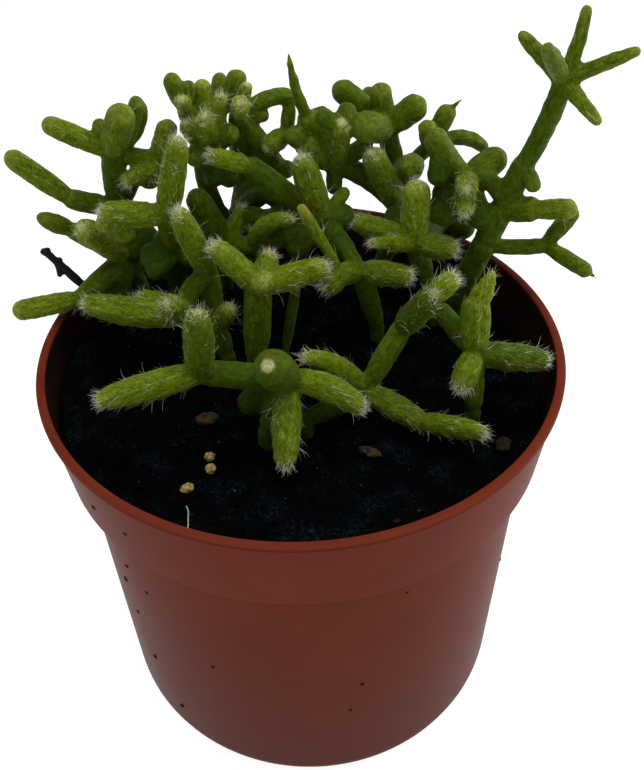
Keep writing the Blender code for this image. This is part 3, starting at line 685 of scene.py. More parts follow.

# Growth of each rooted cutting: its foot's x and y, then a row for each segment, as
# (place on the plant, heading in degrees from +X, rise in degrees, length, width, youth, wool).
# The place spells the way up from the soil: "142" is the second segment on the tip of the
# fourth segment on the tip of the first one. Youth goes from 0, old and dark, to 1, fresh and
# bristly. Wool is the thickness of the white tuft on the end, and up to 0.4 the end is only pale.
# The last rows of most cuttings are small side buds and spurs that fill out the crown.
# Youth was also set lower on the front cuttings, and higher at the back on the left, to match how
# dark or pale they look: part of the dark and pale green it gives is painted shade and light.
SHOOTS = {
    "front_centre_shoot": ((-5.5, -14.5), (
        ("1", 30, 65, 11.5, 4.4, 0, 0), ("11", -110, 50, 12, 6.6, 0.12, 0.36),
        ("12", -95, -35, 13.5, 4.4, 0.9, 1), ("13", -20, -15, 12.5, 4.3, 0.7, 0.9),
        ("14", 175, 5, 15, 4.1, 0.1, 0), ("141", -160, 0, 16, 4.4, 0.8, 1),
        ("142", -65, 80, 13.5, 4.7, 0.3, 0.7), ("15", 160, -45, 11.5, 4.4, 0, 0),
    )),
    "front_right_shoot": ((0.5, -12.5), (
        ("1", 20, 15, 12, 3.6, 0.02, 0), ("11", 20, 60, 13.5, 3.5, 0.42, 0.3),
        ("111", -35, 60, 10, 4.3, 0.07, 0.9), ("1111", 20, 35, 5.5, 3.4, 0.82, 0.9),
        ("12", -35, -10, 11.5, 4, 0.52, 0.8), ("121", -30, 10, 11, 3.5, 0.52, 1),
        ("13", -175, 40, 13, 3.6, 0.62, 0.7),
    )),
    "right_shoot": ((27, -12), (
        ("1", 95, 75, 11.5, 3.4, 0.34, 0), ("11", 0, -10, 12, 4.3, 0.14, 1),
        ("12", 85, 60, 9, 4.7, 0.54, 0.4), ("121", 25, 65, 6.5, 3.5, 0.94, 0.7),
        ("13", -120, -30, 6.5, 4.1, 0.64, 0.8), ("14", 120, 20, 10, 3.2, 0.04, 0),
    )),
    "middle_left_shoot": ((-7.5, 2.5), (
        ("1", 5, 85, 17.5, 4.6, 0.45, 0), ("11", 175, 50, 10.5, 4.1, 0.95, 0.9),
        ("12", -5, 20, 12, 4.2, 0.8, 0.9), ("13", 50, 50, 6, 3.8, 0.75, 0.7),
        ("14", -70, 45, 5, 4, 0.75, 0.22),
    )),
    "left_inner_shoot": ((-12.5, 4.5), (
        ("1", 135, 60, 6.5, 3.8, 0.1, 0), ("11", 95, 80, 12, 3.8, 0.35, 0),
        ("111", -125, 70, 16, 4.2, 0.65, 0.9), ("112", -120, -20, 10, 3.4, 0.1, 0),
        ("1121", 165, 0, 17.5, 4.9, 0.7, 1), ("1122", -105, 50, 8.5, 4.3, 0.4, 0.7),
        ("1123", 150, 5, 9, 4, 0.8, 0.7), ("12", -50, 55, 9.5, 3.4, 0.7, 0.6),
    )),
    "left_back_shoot": ((-21.5, 19), (
        ("1", -80, 70, 18.5, 3.6, 0, 0), ("11", -90, 75, 10, 3.6, 0.15, 0),
        ("111", -10, 75, 14.5, 4.3, 0.6, 0.8), ("112", -165, 15, 11, 4.1, 0.9, 1),
        ("12", -130, -15, 6.5, 3.8, 0, 0), ("13", 5, -30, 5.5, 3.6, 0.1, 0),
        ("14", 160, 65, 4.5, 4.8, 0, 0), ("15", -155, 0, 6, 5, 0, 0),
        ("1121", 0, -60, 6, 3.4, 0.4, 0), ("1122", -160, -60, 3.4, 2.6, 0.8, 0),
    )),
    "left_tall_shoot": ((-28, 19.5), (
        ("1", -155, 80, 13.5, 3.8, 0, 0), ("11", -125, -10, 13, 4.2, 0.35, 0),
        ("111", -165, 0, 12, 3.6, 0.79, 0), ("12", -155, 45, 12.5, 3.4, 0.44, 0),
        ("121", -155, 40, 7, 3.3, 0.35, 0), ("13", -115, 50, 16, 4.4, 0.74, 0.55),
        ("14", 95, 85, 11, 4.2, 0.05, 0), ("141", -165, 25, 9.5, 3.6, 0.39, 0),
        ("1411", 180, 45, 12.5, 3.6, 0.64, 0), ("142", -15, 85, 12.5, 4.1, 0.12, 0),
        ("1421", -165, 35, 12, 3.5, 0.64, 0), ("1422", 180, 75, 6, 2.8, 0.35, 0),
        ("1423", -55, 55, 12, 4.7, 0.54, 0), ("1424", 25, 55, 10, 3.7, 0.35, 0),
        ("1425", 20, -25, 9, 3.2, 0.34, 0), ("14251", 20, 65, 7.5, 3.6, 0.64, 0.2),
        ("14252", -135, -10, 7.5, 3.2, 1, 1), ("15", 15, 40, 7.5, 5, 0, 0),
        ("16", 50, 50, 4.5, 4.4, 0, 0), ("14253", 180, -60, 5.5, 4, 0.34, 0),
        ("17", -110, -45, 8, 3.8, 0, 0), ("143", 40, 50, 6.5, 3.4, 0, 0),
    )),
    "back_left_shoot": ((-13.5, 28.5), (
        ("1", -80, 75, 18.5, 3, 0, 0), ("11", -170, 85, 14, 3.4, 0.1, 0),
        ("111", 170, 65, 9, 3.4, 0.35, 0), ("1111", 170, 70, 6.5, 3.1, 0.35, 0),
        ("1112", -90, 40, 6, 2.6, 0.97, 0.55), ("112", 95, 75, 11.5, 3.3, 1, 0),
        ("113", 55, 60, 7, 3.4, 0.35, 0), ("1131", 30, 50, 8.5, 3.6, 0.35, 0),
        ("1132", 80, 45, 7.5, 2.8, 0.35, 0), ("114", -85, 55, 11, 4, 0.87, 0.75),
        ("115", -50, 65, 12.5, 3.3, 0.87, 0.65), ("116", -15, -40, 5.5, 3.6, 0.1, 0),
        ("117", -30, 40, 7.5, 3.4, 0.57, 0), ("118", -130, 55, 8.5, 3.8, 0.52, 0.62),
        ("119", -130, 0, 5, 3.8, 0.32, 0), ("1161", -90, -50, 4, 3.4, 0, 0),
        ("1162", -160, -35, 5, 3.6, 0, 0), ("1113", 20, 75, 5, 2.4, 0.35, 0),
    )),
    "back_arch_shoot": ((-7, 28.5), (
        ("1", -145, 75, 17.5, 3, 0, 0), ("11", 35, 80, 11.5, 3.3, 0.1, 0),
        ("111", -70, 75, 11, 3.9, 0.35, 0), ("1111", 15, 10, 10, 2.9, 0.35, 0),
        ("11111", -120, -75, 7, 2.5, 0.35, 0), ("111111", -130, -5, 6, 3.6, 0.54, 0.4),
        ("1112", -55, 65, 7, 2.3, 0.99, 0.3), ("1113", -85, 35, 10, 3, 0.94, 0.6),
        ("1114", 0, -60, 13, 3.4, 0.34, 0), ("112", 35, 45, 5, 3.6, 0.49, 0),
        ("1121", -50, -25, 5, 4, 0.44, 0), ("12", 0, 55, 9, 3.8, 0.05, 0),
        ("13", -35, 40, 10.5, 3.8, 0.05, 0), ("131", -15, -25, 5, 3.6, 0.24, 0),
        ("1115", 10, -10, 5, 2.6, 0.34, 0), ("11141", 0, -20, 3, 3.2, 0.34, 0),
    )),
    "inner_back_shoot": ((-8.5, 22.5), (
        ("1", -120, 65, 17, 3.4, 0.35, 0), ("11", 30, 60, 8, 3.2, 0.75, 0.9),
        ("12", 170, 65, 12, 4.4, 0.15, 0), ("13", -30, 20, 6.5, 3.2, 0.25, 0),
        ("131", -25, 40, 11, 3, 0.65, 0.7), ("132", 0, 14, 11.5, 3.8, 0.15, 0),
        ("111", -20, -10, 6, 3.2, 0.15, 0),
    )),
    "middle_shoot": ((14, 10.5), (
        ("1", -150, 75, 15.5, 3.6, 0.16, 0), ("11", -150, 10, 5.5, 4, 0.36, 0),
        ("111", -140, -10, 4.5, 4.2, 0.35, 0.6), ("112", 160, 60, 14, 1.9, 0.66, 0),
        ("12", -25, 5, 9, 4.2, 0.46, 0.7), ("13", 135, 35, 12, 3.2, 0.11, 0),
        ("131", -155, 75, 13.5, 4.8, 0.41, 0.7), ("132", 30, 40, 7, 2.4, 0.35, 0),
        ("133", -170, -20, 7.5, 3.6, 0.36, 0), ("134", 170, 40, 16.5, 4, 0.06, 0),
        ("1341", -170, 25, 7.5, 3.3, 0.76, 0.7), ("135", -40, -40, 8, 4, 0.06, 0),
        ("136", -150, -35, 8, 4, 0.06, 0), ("137", 175, 5, 9.5, 4.2, 0.06, 0),
        ("138", 20, 0, 6, 4, 0.06, 0),
    )),
    "star_shoot": ((25, 14), (
        ("1", 175, 75, 9.5, 2.8, 0.15, 0), ("11", -175, 70, 9, 3.8, 0.35, 0),
        ("111", 85, 85, 11.5, 4.8, 1, 0.6), ("112", 170, 20, 11.5, 4.3, 0.65, 0.7),
        ("113", -150, 20, 10, 2.5, 0.7, 1), ("114", -30, 5, 8, 4.3, 0.6, 1),
        ("115", 55, -5, 11.5, 4.2, 0.05, 0), ("1151", -20, -10, 6.5, 4, 0.05, 0),
        ("116", 120, 25, 8, 4, 0.05, 0),
    )),
    "back_shoot": ((16.5, 30), (
        ("1", -65, 65, 18, 3.8, 0.17, 0), ("11", 115, 75, 8.5, 3.6, 0.17, 0),
        ("111", -175, 75, 11, 3.6, 0.17, 0), ("1111", 165, 40, 11.5, 4.3, 0.27, 0),
        ("1112", 120, 40, 8, 3, 0.35, 0), ("1113", -130, 75, 9, 3.8, 0.35, 0),
        ("1114", 5, 35, 8, 4.6, 0.32, 0), ("1115", -125, 25, 10, 5.2, 0.37, 0),
        ("112", -75, 40, 9.5, 4.6, 0.47, 0), ("113", -10, 50, 9, 2.6, 0.35, 0),
        ("1131", -110, 55, 7, 3.2, 0.57, 0), ("1132", 25, 60, 7.5, 3.4, 0.35, 0),
        ("11321", -5, 45, 3.5, 1.4, 0.35, 0), ("1133", 15, -15, 11.5, 2.7, 0.35, 0),
        ("12", -135, 60, 18.5, 4.5, 0.52, 0.6), ("13", 180, 40, 17.5, 3.8, 0.17, 0),
        ("131", -175, 65, 11.5, 4.3, 0.35, 0), ("1311", -150, 75, 12.5, 2.1, 0.35, 0),
        ("1312", 45, 0, 4.5, 2.4, 0.35, 0), ("132", -155, 45, 9, 4.2, 0.47, 0),
        ("133", -80, 60, 12.5, 3.9, 0.77, 0.75), ("134", -5, 35, 8, 3.2, 0.27, 0),
        ("1321", 180, 45, 4, 3.6, 0.27, 0), ("135", -90, -50, 5, 2.8, 0.07, 0),
        ("1331", 60, 40, 4.5, 3.2, 0.17, 0), ("1332", 160, 30, 4.5, 3, 0.17, 0),
    )),
    "tall_shoot": ((28.5, 17), (
        ("1", -50, 70, 17.5, 4.3, 0.2, 0), ("11", 25, 65, 8.5, 4.3, 0.2, 0),
        ("111", 5, 70, 10, 4, 0.22, 0), ("1111", -20, 75, 16.5, 3.3, 0.2, 0),
        ("11111", 10, 80, 11, 2.4, 0.55, 0), ("11112", -25, 30, 11.5, 2.5, 0.55, 0),
        ("11113", -55, -30, 9, 2.4, 0.65, 0), ("11114", 160, 42, 9.8, 2.7, 0.5, 0),
        ("11115", -125, 40, 13, 2.7, 0.45, 0), ("1112", -70, -35, 5, 2.6, 0.35, 0),
        ("112", -30, 13, 6.8, 4.3, 0.35, 0), ("1121", -30, 15, 7.5, 3.4, 0.8, 0),
        ("113", 155, 35, 9, 3, 0.1, 0), ("1131", 25, 20, 8, 4.8, 0.35, 0),
        ("1132", 180, 55, 11, 4.2, 0.35, 0), ("1133", -100, 15, 7.5, 3.8, 0.6, 0.6),
        ("1134", -100, -15, 8.5, 3.4, 0.7, 1), ("1135", 175, -40, 6.5, 4.2, 0, 0),
        ("1136", -160, -60, 9, 4.2, 0.1, 0), ("1137", -55, -55, 9, 4, 0.1, 0),
        ("1138", -175, 35, 7.5, 3.4, 0, 0), ("1139", -65, -75, 7.5, 4.4, 0, 0),
        ("12", -5, 0, 11.2, 2.8, 0.3, 0), ("121", 10, 52, 8, 2.8, 0.35, 0),
        ("122", -40, -15, 9.2, 2.8, 0.35, 0), ("1221", -10, -35, 3, 1, 0.35, 0),
        ("11351", -120, -50, 5, 3.6, 0, 0), ("11381", -90, -60, 4, 3.4, 0, 0),
    )),
    "thin_shoot": ((-2.5, 5), (
        ("1", -5, 80, 14, 1.9, 0.35, 0),
    )),
}

# Segments that bow between their ends: the height of the bow as a share of the length
BOWS = {
    "front_centre_shoot": {"13": 0.12},
    "front_right_shoot": {"13": 0.1},
    "left_inner_shoot": {"112": 0.2, "1121": -0.03},
    "left_tall_shoot": {"1424": -0.14},
    "back_left_shoot": {"11": -0.12},
    "back_arch_shoot": {"11": -0.1, "1111": 0.1},
    "inner_back_shoot": {"131": 0.13},
    "back_shoot": {"13": 0.1, "1133": 0.17, "1311": -0.04},
    "tall_shoot": {"1111": -0.03, "11111": -0.04, "12": -0.04, "113": 0.28, "1132": -0.06},
}

# Segments of a form of their own: a bulb, a flask, a bud, a spindle, a spike and two thorns, the
# even main stem of the tallest cutting, and the slender arms of the star on top of it
TAPERS = {
    "front_centre_shoot": {"11": BULB},
    "star_shoot": {"113": FLASK},
    "right_shoot": {"121": BUD},
    "back_shoot": {"1311": SPIKE, "11321": THORN},
    "left_tall_shoot": {"121": SPINDLE},
    "tall_shoot": {"1": EVEN, "11": EVEN, "111": EVEN, "1111": EVEN, "11111": ARM, "11112": ARM,
                   "11113": ARM, "11114": ARM, "11115": YOUNG, "1221": THORN},
}

# Segments that end in a yellow or orange growing point, and how strong its colour is
GROWING_POINTS = {
    "back_arch_shoot": {"1121": 0.5},
    "middle_shoot": {"112": 1},
    "back_shoot": {"1311": 0.2},
    "tall_shoot": {"11111": 0.15, "11112": 0.15, "11113": 0.2},
}


def way(heading, rise):
    """Unit vector along a heading and a rise, and the unit vector square to it, upwards."""
    heading = math.radians(heading)
    rise = math.radians(rise)
    level = Vector((math.cos(heading), math.sin(heading), 0.0))
    up = Vector((0.0, 0.0, 1.0))
    along = level * math.cos(rise) + up * math.sin(rise)
    return along, up * math.cos(rise) - level * math.sin(rise)


def rounded(reach):
    """Height of a quarter circle of radius 1 at a distance from its low end, and 1 past it."""
    return np.sqrt(np.clip(1 - (1 - np.clip(reach, 0, 1)) ** 2, 0, 1))


class Segment:
    """One stem segment: its axis, its swelling and its looks."""

    def __init__(self, start, heading, rise, length, width, form, bow=0.0, youth=0.0, wool=0.0,
                 point=0.0):
        self.start = np.array(start)
        along, lift = way(heading, rise)
        self.along = np.array(along)
        self.lift = np.array(lift)
        self.side = np.cross(self.along, self.lift)
        self.length = length
        self.width = width
        self.form = form
        self.bow = bow
        self.youth = youth
        self.wool = wool
        self.point = point

    def centre(self, share):
        """Points of the axis at shares of the length."""
        share = np.asarray(share)[..., None]
        return self.start + self.along * self.length * share \
            + self.lift * 4 * share * (1 - share) * self.bow * self.length

    def radius(self, share):
        """Radius at shares of the length, with both ends rounded."""
        shares, swells = zip(*self.form)
        body = self.width / 2 * np.interp(share, shares, swells)
        from_foot = np.asarray(share) * self.length / (FOOT_ROUNDING * self.width)
        tip_size = min(TIP_ROUNDING * self.width * self.form[-1][1], LONGEST_TIP * self.length)
        from_tip = (1 - np.asarray(share)) * self.length / tip_size
        return body * rounded(from_foot) * rounded(from_tip)

    def surface(self):
        """Closed tube round the axis, as points and faces."""
        count = max(FEWEST_RINGS, int(self.length / STEM_RING_STEP))
        shares = 0.5 - 0.5 * np.cos(np.linspace(0, math.pi, count + 1))[1:-1]
        angles = np.arange(STEM_SIDES) * 2 * math.pi / STEM_SIDES
        ring = self.side * np.cos(angles)[:, None] + self.lift * np.sin(angles)[:, None]
        points = self.centre(shares)[:, None, :] + ring * self.radius(shares)[:, None, None]
        points = points.reshape(-1, 3).tolist()
        points += [self.centre(0.0).tolist(), self.centre(1.0).tolist()]
        foot, tip = len(points) - 2, len(points) - 1
        last = (count - 2) * STEM_SIDES
        faces = []
        for index in range(STEM_SIDES):
            after = (index + 1) % STEM_SIDES
            for lower in range(0, last, STEM_SIDES):
                upper = lower + STEM_SIDES
                faces.append((lower + index, upper + index, upper + after, lower + after))
            faces.append((index, after, foot))
            faces.append((last + after, last + index, tip))
        return points, faces


def segments_of(foot, stem_width, rows, bows, tapers, growing_points):
    """The peg in the peat and the segments above it."""
    peg = Segment((foot[0], foot[1], SOIL_TOP - PEG_DEPTH), 0, 90,
                  PEG_DEPTH + PEG_RISE + PEG_SINK * stem_width, stem_width * PEG_WIDTH, PEG)
    segments = [peg]
    joints = {"": np.array((foot[0], foot[1], SOIL_TOP + PEG_RISE))}
    for place, heading, rise, length, width, youth, wool in rows:
        bow = bows.get(place, 0.0)
        form = tapers.get(place, YOUNG if wool > 0.6 else CURVED if bow else BLUNT)
        segment = Segment(joints[place[:-1]], heading, rise, length, width, form, bow, youth, wool,
                          growing_points.get(place, 0.0))
        segments.append(segment)
        joints[place] = segment.start + segment.along * (length - JOINT_SINK * width)
    return segments


def grown_together(name, segments, step, smoothing):
    """One even skin over all the segments of a growth."""
    points = []
    faces = []
    for segment in segments:
        more_points, more_faces = segment.surface()
        faces += [tuple(index + len(points) for index in face) for face in more_faces]
        points += more_points
    thing = mesh_object(name, points, faces)
    skin = thing.modifiers.new("one skin", "REMESH")
    skin.mode = "VOXEL"
    skin.voxel_size = step * MM
    skin.use_smooth_shade = True
    soft = thing.modifiers.new("soften", "SMOOTH")
    soft.factor = 0.5
    soft.iterations = smoothing
    return finished(thing)


def segment_places(places, segments):
    """For each place its segment, the weight of every segment there, and where on its own it lies.

    That is its share of the length, and its distances to the side of the axis and above it.
    """
    gaps, shares, across, above = [], [], [], []
    for segment in segments:
        share = np.clip((places - segment.start) @ segment.along / segment.length, 0, 1)
        offset = places - segment.centre(share)
        gaps.append(np.linalg.norm(offset, axis=1) - segment.radius(np.clip(share, 0.03, 0.97)))
        shares.append(share)
        across.append(offset @ segment.side)
        above.append(offset @ segment.lift)
    gaps = np.array(gaps)
    best = gaps.argmin(axis=0)
    rows = np.arange(len(places))
    weights = np.exp(-(gaps - gaps[best, rows]) / BLEND_GAP)
    weights /= weights.sum(axis=0)
    return best, weights, *[np.array(part)[best, rows] for part in (shares, across, above)]


def describe(thing, segments, seed):
    """Give each vertex its place on its own segment, for the skin's pattern and the bristles."""
    places = places_of(thing) / MM
    best, weights, share, across, above = segment_places(places, segments)
    looks = np.array([(part.youth, part.wool, part.point, part.length) for part in segments])
    youth, wool, point, length = looks[best].T
    tones = np.random.default_rng(seed).uniform(0, 1, len(segments))
    hairy = np.maximum(youth, np.where(wool > 0.5, wool, 0))
    from_tip = (1 - share) * length
    # Cushions stand in rows along the ribs, those of neighbouring ribs half a step apart.
    sway = np.array([noise.noise(Vector(place) * WAVES_PER_MM) for place in places])
    turn = np.arctan2(above, across) / (2 * math.pi) * RIB_COUNT + tones[best]
    rib = 0.5 + 0.5 * np.cos(2 * math.pi * (turn + 0.25 * sway))
    climb = share * length / CUSHION_PITCH + 0.5 * np.round(turn) + 0.5 * sway
    cushion = rib ** 2 * (0.5 + 0.5 * np.cos(2 * math.pi * climb)) ** 3
    body = smooth_step(0.05, 0.2, share) * smooth_step(0.3, 1.5, from_tip)
    # The pale crown round the tip is strongest where the wool on it is thin.
    crown = smooth_step(0.15, 0.35, wool) * (1 - 0.4 * smooth_step(0.4, 0.7, wool))
    down = smooth_step(0.3, 0.9, hairy) * (0.35 + 0.65 * rib)
    values = {
        "youth": looks[:, 0] @ weights,
        "tone": tones @ weights,
        "rib": rib * body,
        "cushion": cushion * body,
        "pale_tip": youth * smooth_step(2.4, 0.4, from_tip),
        "crown": crown * smooth_step(0.34, 0.1, from_tip),
        "growing_point": point * smooth_step(3.5, 0.6, from_tip),
        "bristly": smooth_step(0.35, 0.9, hairy) * cushion * body,
        "downy": down * smooth_step(0.03, 0.15, share),
        "woolly": smooth_step(0.38, 0.8, wool) * smooth_step(1.3, 0.5, from_tip),
        # Coordinates for streaks that run along each segment, far apart for each of them.
        "grain": np.stack([across, above, share * length], axis=1) + best[:, None] * 11.3 + seed,
        "stem_way": np.array([segment.along for segment in segments])[best],
    }
    for label, value in values.items():
        mark(thing, label, value)
    # Low ribs on the young segments and a slight unevenness everywhere.
    normals = np.empty(len(places) * 3)
    thing.data.vertex_normals.foreach_get("vector", normals)
    relief = youth * body * (RIB_HEIGHT * (rib - 0.6) + CUSHION_HEIGHT * cushion)
    places += normals.reshape(-1, 3) * (relief + SKIN_WAVES * sway)[:, None]
    move_to(thing, places * MM)


def attribute(tree, label, output="Fac"):
    """What is stored for each vertex under a name: Fac for a number, Vector for a vector."""
    return add_node(tree, "ShaderNodeAttribute", {"attribute_name": label}).outputs[output]


def stretched(tree, vector, factors):
    """The vector with each of its parts times its own factor."""
    node = add_node(tree, "ShaderNodeMapping", None, {"Vector": vector, "Scale": factors})
    return node.outputs["Vector"]


def cactus_skin(name):
    """Waxy living skin: dark green when old, yellow-green when young, with pale streaks of down."""
    material, tree, shader, coords = new_material(name)
    youth = attribute(tree, "youth")
    cushion = attribute(tree, "cushion")
    grain = attribute(tree, "grain", "Vector")
    streaks = noise_of(tree, stretched(tree, grain, (1.6, 1.6, 0.35)), 1.6, 4.0, 0.65)
    fine = noise_of(tree, stretched(tree, grain, (1.0, 1.0, 0.55)), 1.5, 3.0, 0.85)
    blotches = noise_of(tree, coords, 1 / (3 * MM), 3.0)
    dots = noise_of(tree, grain, 2.6, 2.0)

    age = worked(tree, "MULTIPLY_ADD", blotches, 0.5, -0.25)
    colour = mixed(tree, worked(tree, "ADD", youth, age), "#2a4000", "#637700")
    young_streaks = product(tree, ranged(tree, streaks, 0.54, 0.72, 0.0, 0.5), youth)
    from_ring = worked(tree, "ABSOLUTE", worked(tree, "SUBTRACT", cushion, 0.3))
    layers = (
        # Every segment has a tone of its own, and the young ones are streaked with down.
        (product(tree, attribute(tree, "tone"), 0.35), "#3e540a"),
        (young_streaks, "#9aa648"),
        (product(tree, attribute(tree, "rib"), youth, 0.12), "#8c9a38"),
        # Each cushion is pale, and the dark ring round it is painted shade of the little dent it
        # sits in.
        (product(tree, cushion, young_streaks, 1.2), "#a5a468"),
        (ranged(tree, from_ring, 0.0, 0.2, 0.3, 0.0), "#1e2b05"),
        # Dark dots, paler young tips, orange growing points and the cream round a woolly tip.
        (ranged(tree, dots, 0.67, 0.72, 0.0, 0.6), "#2c3008"),
        (product(tree, attribute(tree, "pale_tip"), 0.4), "#8f9540"),
        (product(tree, attribute(tree, "growing_point"), 0.7), "#9a8a34"),
        (attribute(tree, "crown"), "#a2a474"),
    )
    for share, tint in layers:
        colour = mixed(tree, share, colour, tint)
    # Soft light and dark mottles, about 1 mm across, strongest on young skin. They follow the fine
    # bump, so they are partly the skin's own mottling and partly painted light on its ridges and
    # painted shade in its hollows.
    reach = worked(tree, "MULTIPLY_ADD", youth, 0.5, 2.5)
    mottle = worked(tree, "SUBTRACT", fine, 0.5)
    brightness = worked(tree, "MULTIPLY_ADD", mottle, reach, 1.0)
    mottled_skin = add_node(tree, "ShaderNodeHueSaturation", None,
                            {"Value": brightness, "Color": colour})
    feed(tree, shader, {
        "Base Color": mottled_skin.outputs["Color"],
        "Normal": bumped(tree, worked(tree, "ADD", streaks, fine), 0.7, 0.24),
        "Roughness": 0.48,
        "IOR": 1.42,
        "Specular IOR Level": 0.06,
        "Sheen Weight": 0.08,
        "Sheen Tint": linear("#c4cc80"),
        "Subsurface Weight": 0.12,
        "Subsurface Radius": (0.7, 1.0, 0.25),
        "Subsurface Scale": 0.6 * MM,
    })
    return material


skin_material = cactus_skin("waxy cactus skin")
shoots = {}
for order, (name, (foot, rows)) in enumerate(SHOOTS.items()):
    special = [table.get(name, {}) for table in (BOWS, TAPERS, GROWING_POINTS)]
    segments = segments_of(foot, rows[0][4], rows, *special)
    shoot = grown_together(name + "_stems", segments, SKIN_STEP, SKIN_SMOOTHING)
    describe(shoot, segments, order + 1)
    hold_in_box(shoot)
    shoot.data.materials.clear()
    shoot.data.materials.append(skin_material)
    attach(shoot, "root")
    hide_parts(name)
    shoots[name] = shoot


# ---- Bristles and wool -----------------------------------------------------------------------
# Young segments bear rows of small cushions, each with a few white bristles. Round the growing
# tips they stand so close that they make a tuft of wool. They grow out of the skin.
hair_tree, given = new_geometry_tree("bristles", {
    "Where": "String", "Spacing": "Float", "Hairs on each": "Int", "Shortest": "Float",
    "Longest": "Float", "Thickness": "Float", "Bends": "Int", "Standing": "Float",
    "Lying along": "Float", "Spread": "Float", "Seed": "Int", "Material": "Material",
})
cushions = scattered(hair_tree, given, 2e7)
roots = add_node(hair_tree, "GeometryNodeDuplicateElements", {"domain": "POINT"},
                 {"Geometry": cushions["Points"], "Amount": given["Hairs on each"]})
# A hair leans outwards, onwards along the stem, and to one side by chance.
stem_way = add_node(hair_tree, "GeometryNodeInputNamedAttribute", {"data_type": "FLOAT_VECTOR"},
                    {"Name": "stem_way"}).outputs["Attribute"]
stray = drawn(hair_tree, "FLOAT_VECTOR", (-1, -1, -1), (1, 1, 1), given["Seed"])
direction = scaled(hair_tree, cushions["Normal"], given["Standing"])
for lean in (scaled(hair_tree, stem_way, given["Lying along"]),
             scaled(hair_tree, stray, given["Spread"])):
    direction = add_node(hair_tree, "ShaderNodeVectorMath", {"operation": "ADD"},
                         {0: direction, 1: lean}).outputs["Vector"]
aimed = add_node(hair_tree, "FunctionNodeAlignRotationToVector", {"axis": "Z"},
                 {"Vector": direction})
spin = add_node(hair_tree, "ShaderNodeCombineXYZ", None,
                {"Z": drawn(hair_tree, "FLOAT", 0.0, 6.28, 5)})
spin_by = add_node(hair_tree, "FunctionNodeEulerToRotation", None, {0: spin.outputs[0]})
spun = add_node(hair_tree, "FunctionNodeRotateRotation", {"rotation_space": "LOCAL"},
                {0: aimed.outputs[0], 1: spin_by.outputs[0]})
# It is a bent, pointed and three-sided thread of length 1, rooted a little under the skin.
bend = add_node(hair_tree, "GeometryNodeCurveQuadraticBezier", None, {
    "Resolution": given["Bends"], "Start": (0, 0, -0.05), "Middle": (0, 0, 0.6),
    "End": (0.3, 0, 0.95),
})
along_hair = add_node(hair_tree, "GeometryNodeSplineParameter").outputs["Factor"]
girth = product(hair_tree, ranged(hair_tree, along_hair, 0.0, 1.0, 1.0, 0.25), given["Thickness"])
section = add_node(hair_tree, "GeometryNodeCurvePrimitiveCircle", {"mode": "RADIUS"},
                   {"Resolution": 3, "Radius": 1.0})
hair = add_node(hair_tree, "GeometryNodeCurveToMesh", None, {
    "Curve": bend.outputs["Curve"], "Profile Curve": section.outputs["Curve"],
    "Scale": girth, "Fill Caps": True,
})
plant(hair_tree, given, roots.outputs["Geometry"], hair.outputs["Mesh"], spun.outputs[0],
      drawn(hair_tree, "FLOAT", given["Shortest"], given["Longest"], 9))


def dry_bristle(name, pale, yellow):
    """Dry plant hair: dull and pale, a little yellower in patches."""
    material, tree, shader, coords = new_material(name)
    patches = noise_of(tree, coords, 1 / (4 * MM), 1.0)
    feed(tree, shader, {"Base Color": mixed(tree, patches, pale, yellow), "Roughness": 0.6})
    return material


# Each kind of hair, where it grows and how it stands. Thickness is the radius at the root as a
# share of the length, which makes the bristles 0.02 to 0.06 mm thick.
HAIRS = {
    "bristles": {
        "Where": "bristly", "Spacing": 0.85 * MM, "Hairs on each": 2, "Shortest": 0.7 * MM,
        "Longest": 2.3 * MM, "Thickness": 0.014, "Bends": 3, "Standing": 0.7,
        "Lying along": 0.9, "Spread": 0.6,
        "Material": dry_bristle("white cactus bristle", "#f2f2e6", "#cccca4"),
    },
    "down": {
        "Where": "downy", "Spacing": 0.55 * MM, "Hairs on each": 1, "Shortest": 0.4 * MM,
        "Longest": 1.5 * MM, "Thickness": 0.016, "Bends": 3, "Standing": 0.14,
        "Lying along": 1.0, "Spread": 0.5,
        "Material": dry_bristle("pale flat down", "#c0c48c", "#9aa458"),
    },
    "wool": {
        "Where": "woolly", "Spacing": 0.32 * MM, "Hairs on each": 2, "Shortest": 0.5 * MM,
        "Longest": 1.5 * MM, "Thickness": 0.018, "Bends": 4, "Standing": 0.3,
        "Lying along": 0.8, "Spread": 0.8,
        "Material": dry_bristle("cream cactus wool", "#f4f4e6", "#cccea6"),
    },
}
for order, (name, shoot) in enumerate(shoots.items()):
    for kind, values in HAIRS.items():
        hairs = grown(name + "_" + kind, shoot, hair_tree, {**values, "Seed": 20 + order})
        if len(hairs.data.vertices) == 0:
            bpy.data.objects.remove(hairs)
            continue
        hairs.data.shade_smooth()
        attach(hairs, "root")


# ---- Dead twig -------------------------------------------------------------------------------
# A dry brown stick that leans out of the peat on the left. It is a dead stem: shrunken, cracked
# along its length and broken off at the top, with the stubs of side twigs.
TWIG_FOOT = (-30.7, 14.0)
TWIG_WIDTH = 2.0
TWIG_SKIN_STEP = 0.2
TWIG_SMOOTHING = 3
# Rows as those of the cuttings: the stick in two lengths, its broken side twig and three stubs
TWIG_ROWS = (
    ("1", 180, 55, 20.4, 1.5, 0, 0), ("2", 180, 55, 18, 1.7, 0, 0),
    ("21", -90, -75, 2.6, 1.2, 0, 0), ("11", 150, 20, 1.3, 1.4, 0, 0),
    ("12", 60, 70, 1.1, 1.3, 0, 0), ("22", 10, 60, 1.2, 1.2, 0, 0),
)


